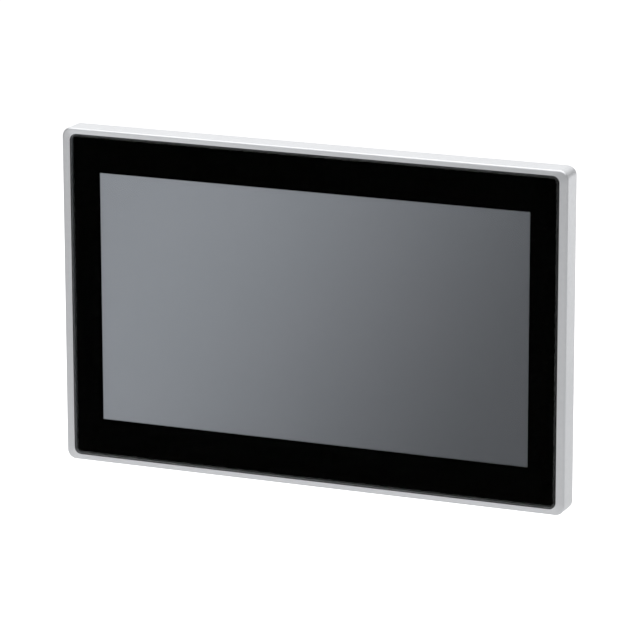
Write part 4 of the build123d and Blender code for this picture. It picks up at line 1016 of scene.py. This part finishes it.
# ---- Operator: studio ---------------------------------------------------------------------------------
class PANEL_OT_studio(bpy.types.Operator):
    """Set the camera, the pale floor and the soft lights"""
    bl_idname = "touch_panel.studio"
    bl_label = "Studio"

    def execute(self, context):
        _, _, studio = settings(context)
        self.camera(context, studio)
        self.floor(context, studio)
        self.surround(context, studio)
        for name, place, size, strength in (
            ("Key light", (-0.50, -0.75, 0.15), (0.4, 0.3), studio.key),
            ("Top light", (0.0, -0.05, 0.95), (1.6, 1.6), studio.top),
            ("Low light", (0.50, 0.85, -0.08), (0.5, 0.25), studio.low),
            ("Back light", (-0.3, 1.1, 0.42), (1.6, 0.9), studio.back),
        ):
            self.soft_light(context, name, place, size, strength)
        context.scene.view_settings.view_transform = "Standard"
        return {"FINISHED"}

    @staticmethod
    def camera(context, studio):
        a, e, roll = studio.azimuth, studio.elevation, studio.roll
        back = Vector((math.sin(a) * math.cos(e), -math.cos(a) * math.cos(e), math.sin(e)))
        right = Vector((math.cos(a), math.sin(a), 0.0))
        up = back.cross(right)
        right, up = (math.cos(roll) * right + math.sin(roll) * up,
                     -math.sin(roll) * right + math.cos(roll) * up)
        data = bpy.data.cameras.new("Camera")
        data.lens = studio.lens
        data.sensor_width = 36.0
        data.clip_start = 0.01
        camera = bpy.data.objects.new("Camera", data)
        turn = Matrix((right, up, back)).transposed().to_4x4()
        camera.matrix_world = Matrix.Translation(Vector(studio.target) + studio.distance * back) @ turn
        context.scene.collection.objects.link(camera)
        context.scene.camera = camera

    @staticmethod
    def floor(context, studio):
        material = bpy.data.materials.new("Pale floor")
        material.use_nodes = True
        g, shader = nodes_of(material)
        tone = effect(g, "tone", Light=(0.90, 0.90, 0.90, 1.0), Dark=(0.88, 0.88, 0.88, 1.0), Size=0.3)
        g.feed(shader, "Base Color", tone["Color"])
        shader.inputs["Roughness"].default_value = 0.9
        shader.inputs["Emission Color"].default_value = WHITE
        seen = g.add("ShaderNodeLightPath").outputs["Is Camera Ray"]
        g.feed(shader, "Emission Strength", g.math("MULTIPLY", seen, FLOOR_GLOW))
        below = g.add("ShaderNodeNewGeometry").outputs["Backfacing"]
        clear = g.add("ShaderNodeBsdfTransparent").outputs[0]
        both = g.add("ShaderNodeMixShader", {0: below, 1: shader.outputs[0], 2: clear}).outputs[0]
        g.feed(g.tree.nodes["Material Output"], "Surface", both)
        bm = bmesh.new()
        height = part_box("front_bezel")[0].z - studio.floor_drop
        bmesh.ops.create_circle(bm, cap_ends=True, radius=FLOOR_RADIUS, segments=96,
                                matrix=Matrix.Translation((0.0, 0.0, height)))
        mesh = bpy.data.meshes.new("Floor")
        bm.to_mesh(mesh)
        bm.free()
        mesh.materials.append(material)
        floor = bpy.data.objects.new("Floor", mesh)
        context.scene.collection.objects.link(floor)

    @staticmethod
    def surround(context, studio):
        world = bpy.data.worlds.new("Studio")
        world.use_nodes = True
        context.scene.world = world
        g = Graph(world.node_tree)
        plain = g.tree.nodes["Background"]
        plain.inputs["Color"].default_value = WHITE
        plain.inputs["Strength"].default_value = studio.surround
        white = g.add("ShaderNodeBackground", {"Color": WHITE, "Strength": BACKDROP_BRIGHTNESS})
        seen = g.add("ShaderNodeLightPath").outputs["Is Camera Ray"]
        both = g.add("ShaderNodeMixShader", {0: seen, 1: plain.outputs[0], 2: white.outputs[0]})
        g.feed(g.tree.nodes["World Output"], "Surface", both.outputs[0])

    @staticmethod
    def soft_light(context, name, place, size, strength):
        """A soft rectangle of light that faces the panel's middle."""
        data = bpy.data.lights.new(name, "AREA")
        data.shape = "RECTANGLE"
        data.size, data.size_y = size
        data.energy = strength
        light = bpy.data.objects.new(name, data)
        light.location = place
        light.rotation_euler = (-Vector(place)).to_track_quat("-Z", "Y").to_euler()
        light.visible_camera = False
        context.scene.collection.objects.link(light)


# ---- Panel and registration -----------------------------------------------------------------------------
OPERATORS = (PANEL_OT_studio, PANEL_OT_front, PANEL_OT_housing, PANEL_OT_electronics, PANEL_OT_clamps,
             PANEL_OT_network, PANEL_OT_usb, PANEL_OT_small_parts)


class PANEL_PT_sidebar(bpy.types.Panel):
    """Lists the builder's steps and settings"""
    bl_idname = "PANEL_PT_sidebar"
    bl_label = "Touch Panel"
    bl_space_type = "VIEW_3D"
    bl_region_type = "UI"
    bl_category = "Touch Panel"

    def draw(self, context):
        layout = self.layout
        for operator in OPERATORS:
            layout.operator(operator.bl_idname)
        for group in settings(context):
            box = layout.box()
            for key in type(group).__annotations__:
                box.prop(group, key)


CLASSES = (PanelFinishes, PanelDetails, PanelStudio, *OPERATORS, PANEL_PT_sidebar)


def register():
    for cls in CLASSES:
        bpy.utils.register_class(cls)
    bpy.types.Scene.panel_finishes = bpy.props.PointerProperty(type=PanelFinishes)
    bpy.types.Scene.panel_details = bpy.props.PointerProperty(type=PanelDetails)
    bpy.types.Scene.panel_studio = bpy.props.PointerProperty(type=PanelStudio)


def unregister():
    del bpy.types.Scene.panel_studio
    del bpy.types.Scene.panel_details
    del bpy.types.Scene.panel_finishes
    for cls in reversed(CLASSES):
        bpy.utils.unregister_class(cls)


def main():
    register()
    for operator in OPERATORS:
        category, name = operator.bl_idname.split(".")
        getattr(getattr(bpy.ops, category), name)()


if __name__ == "__main__":
    main()
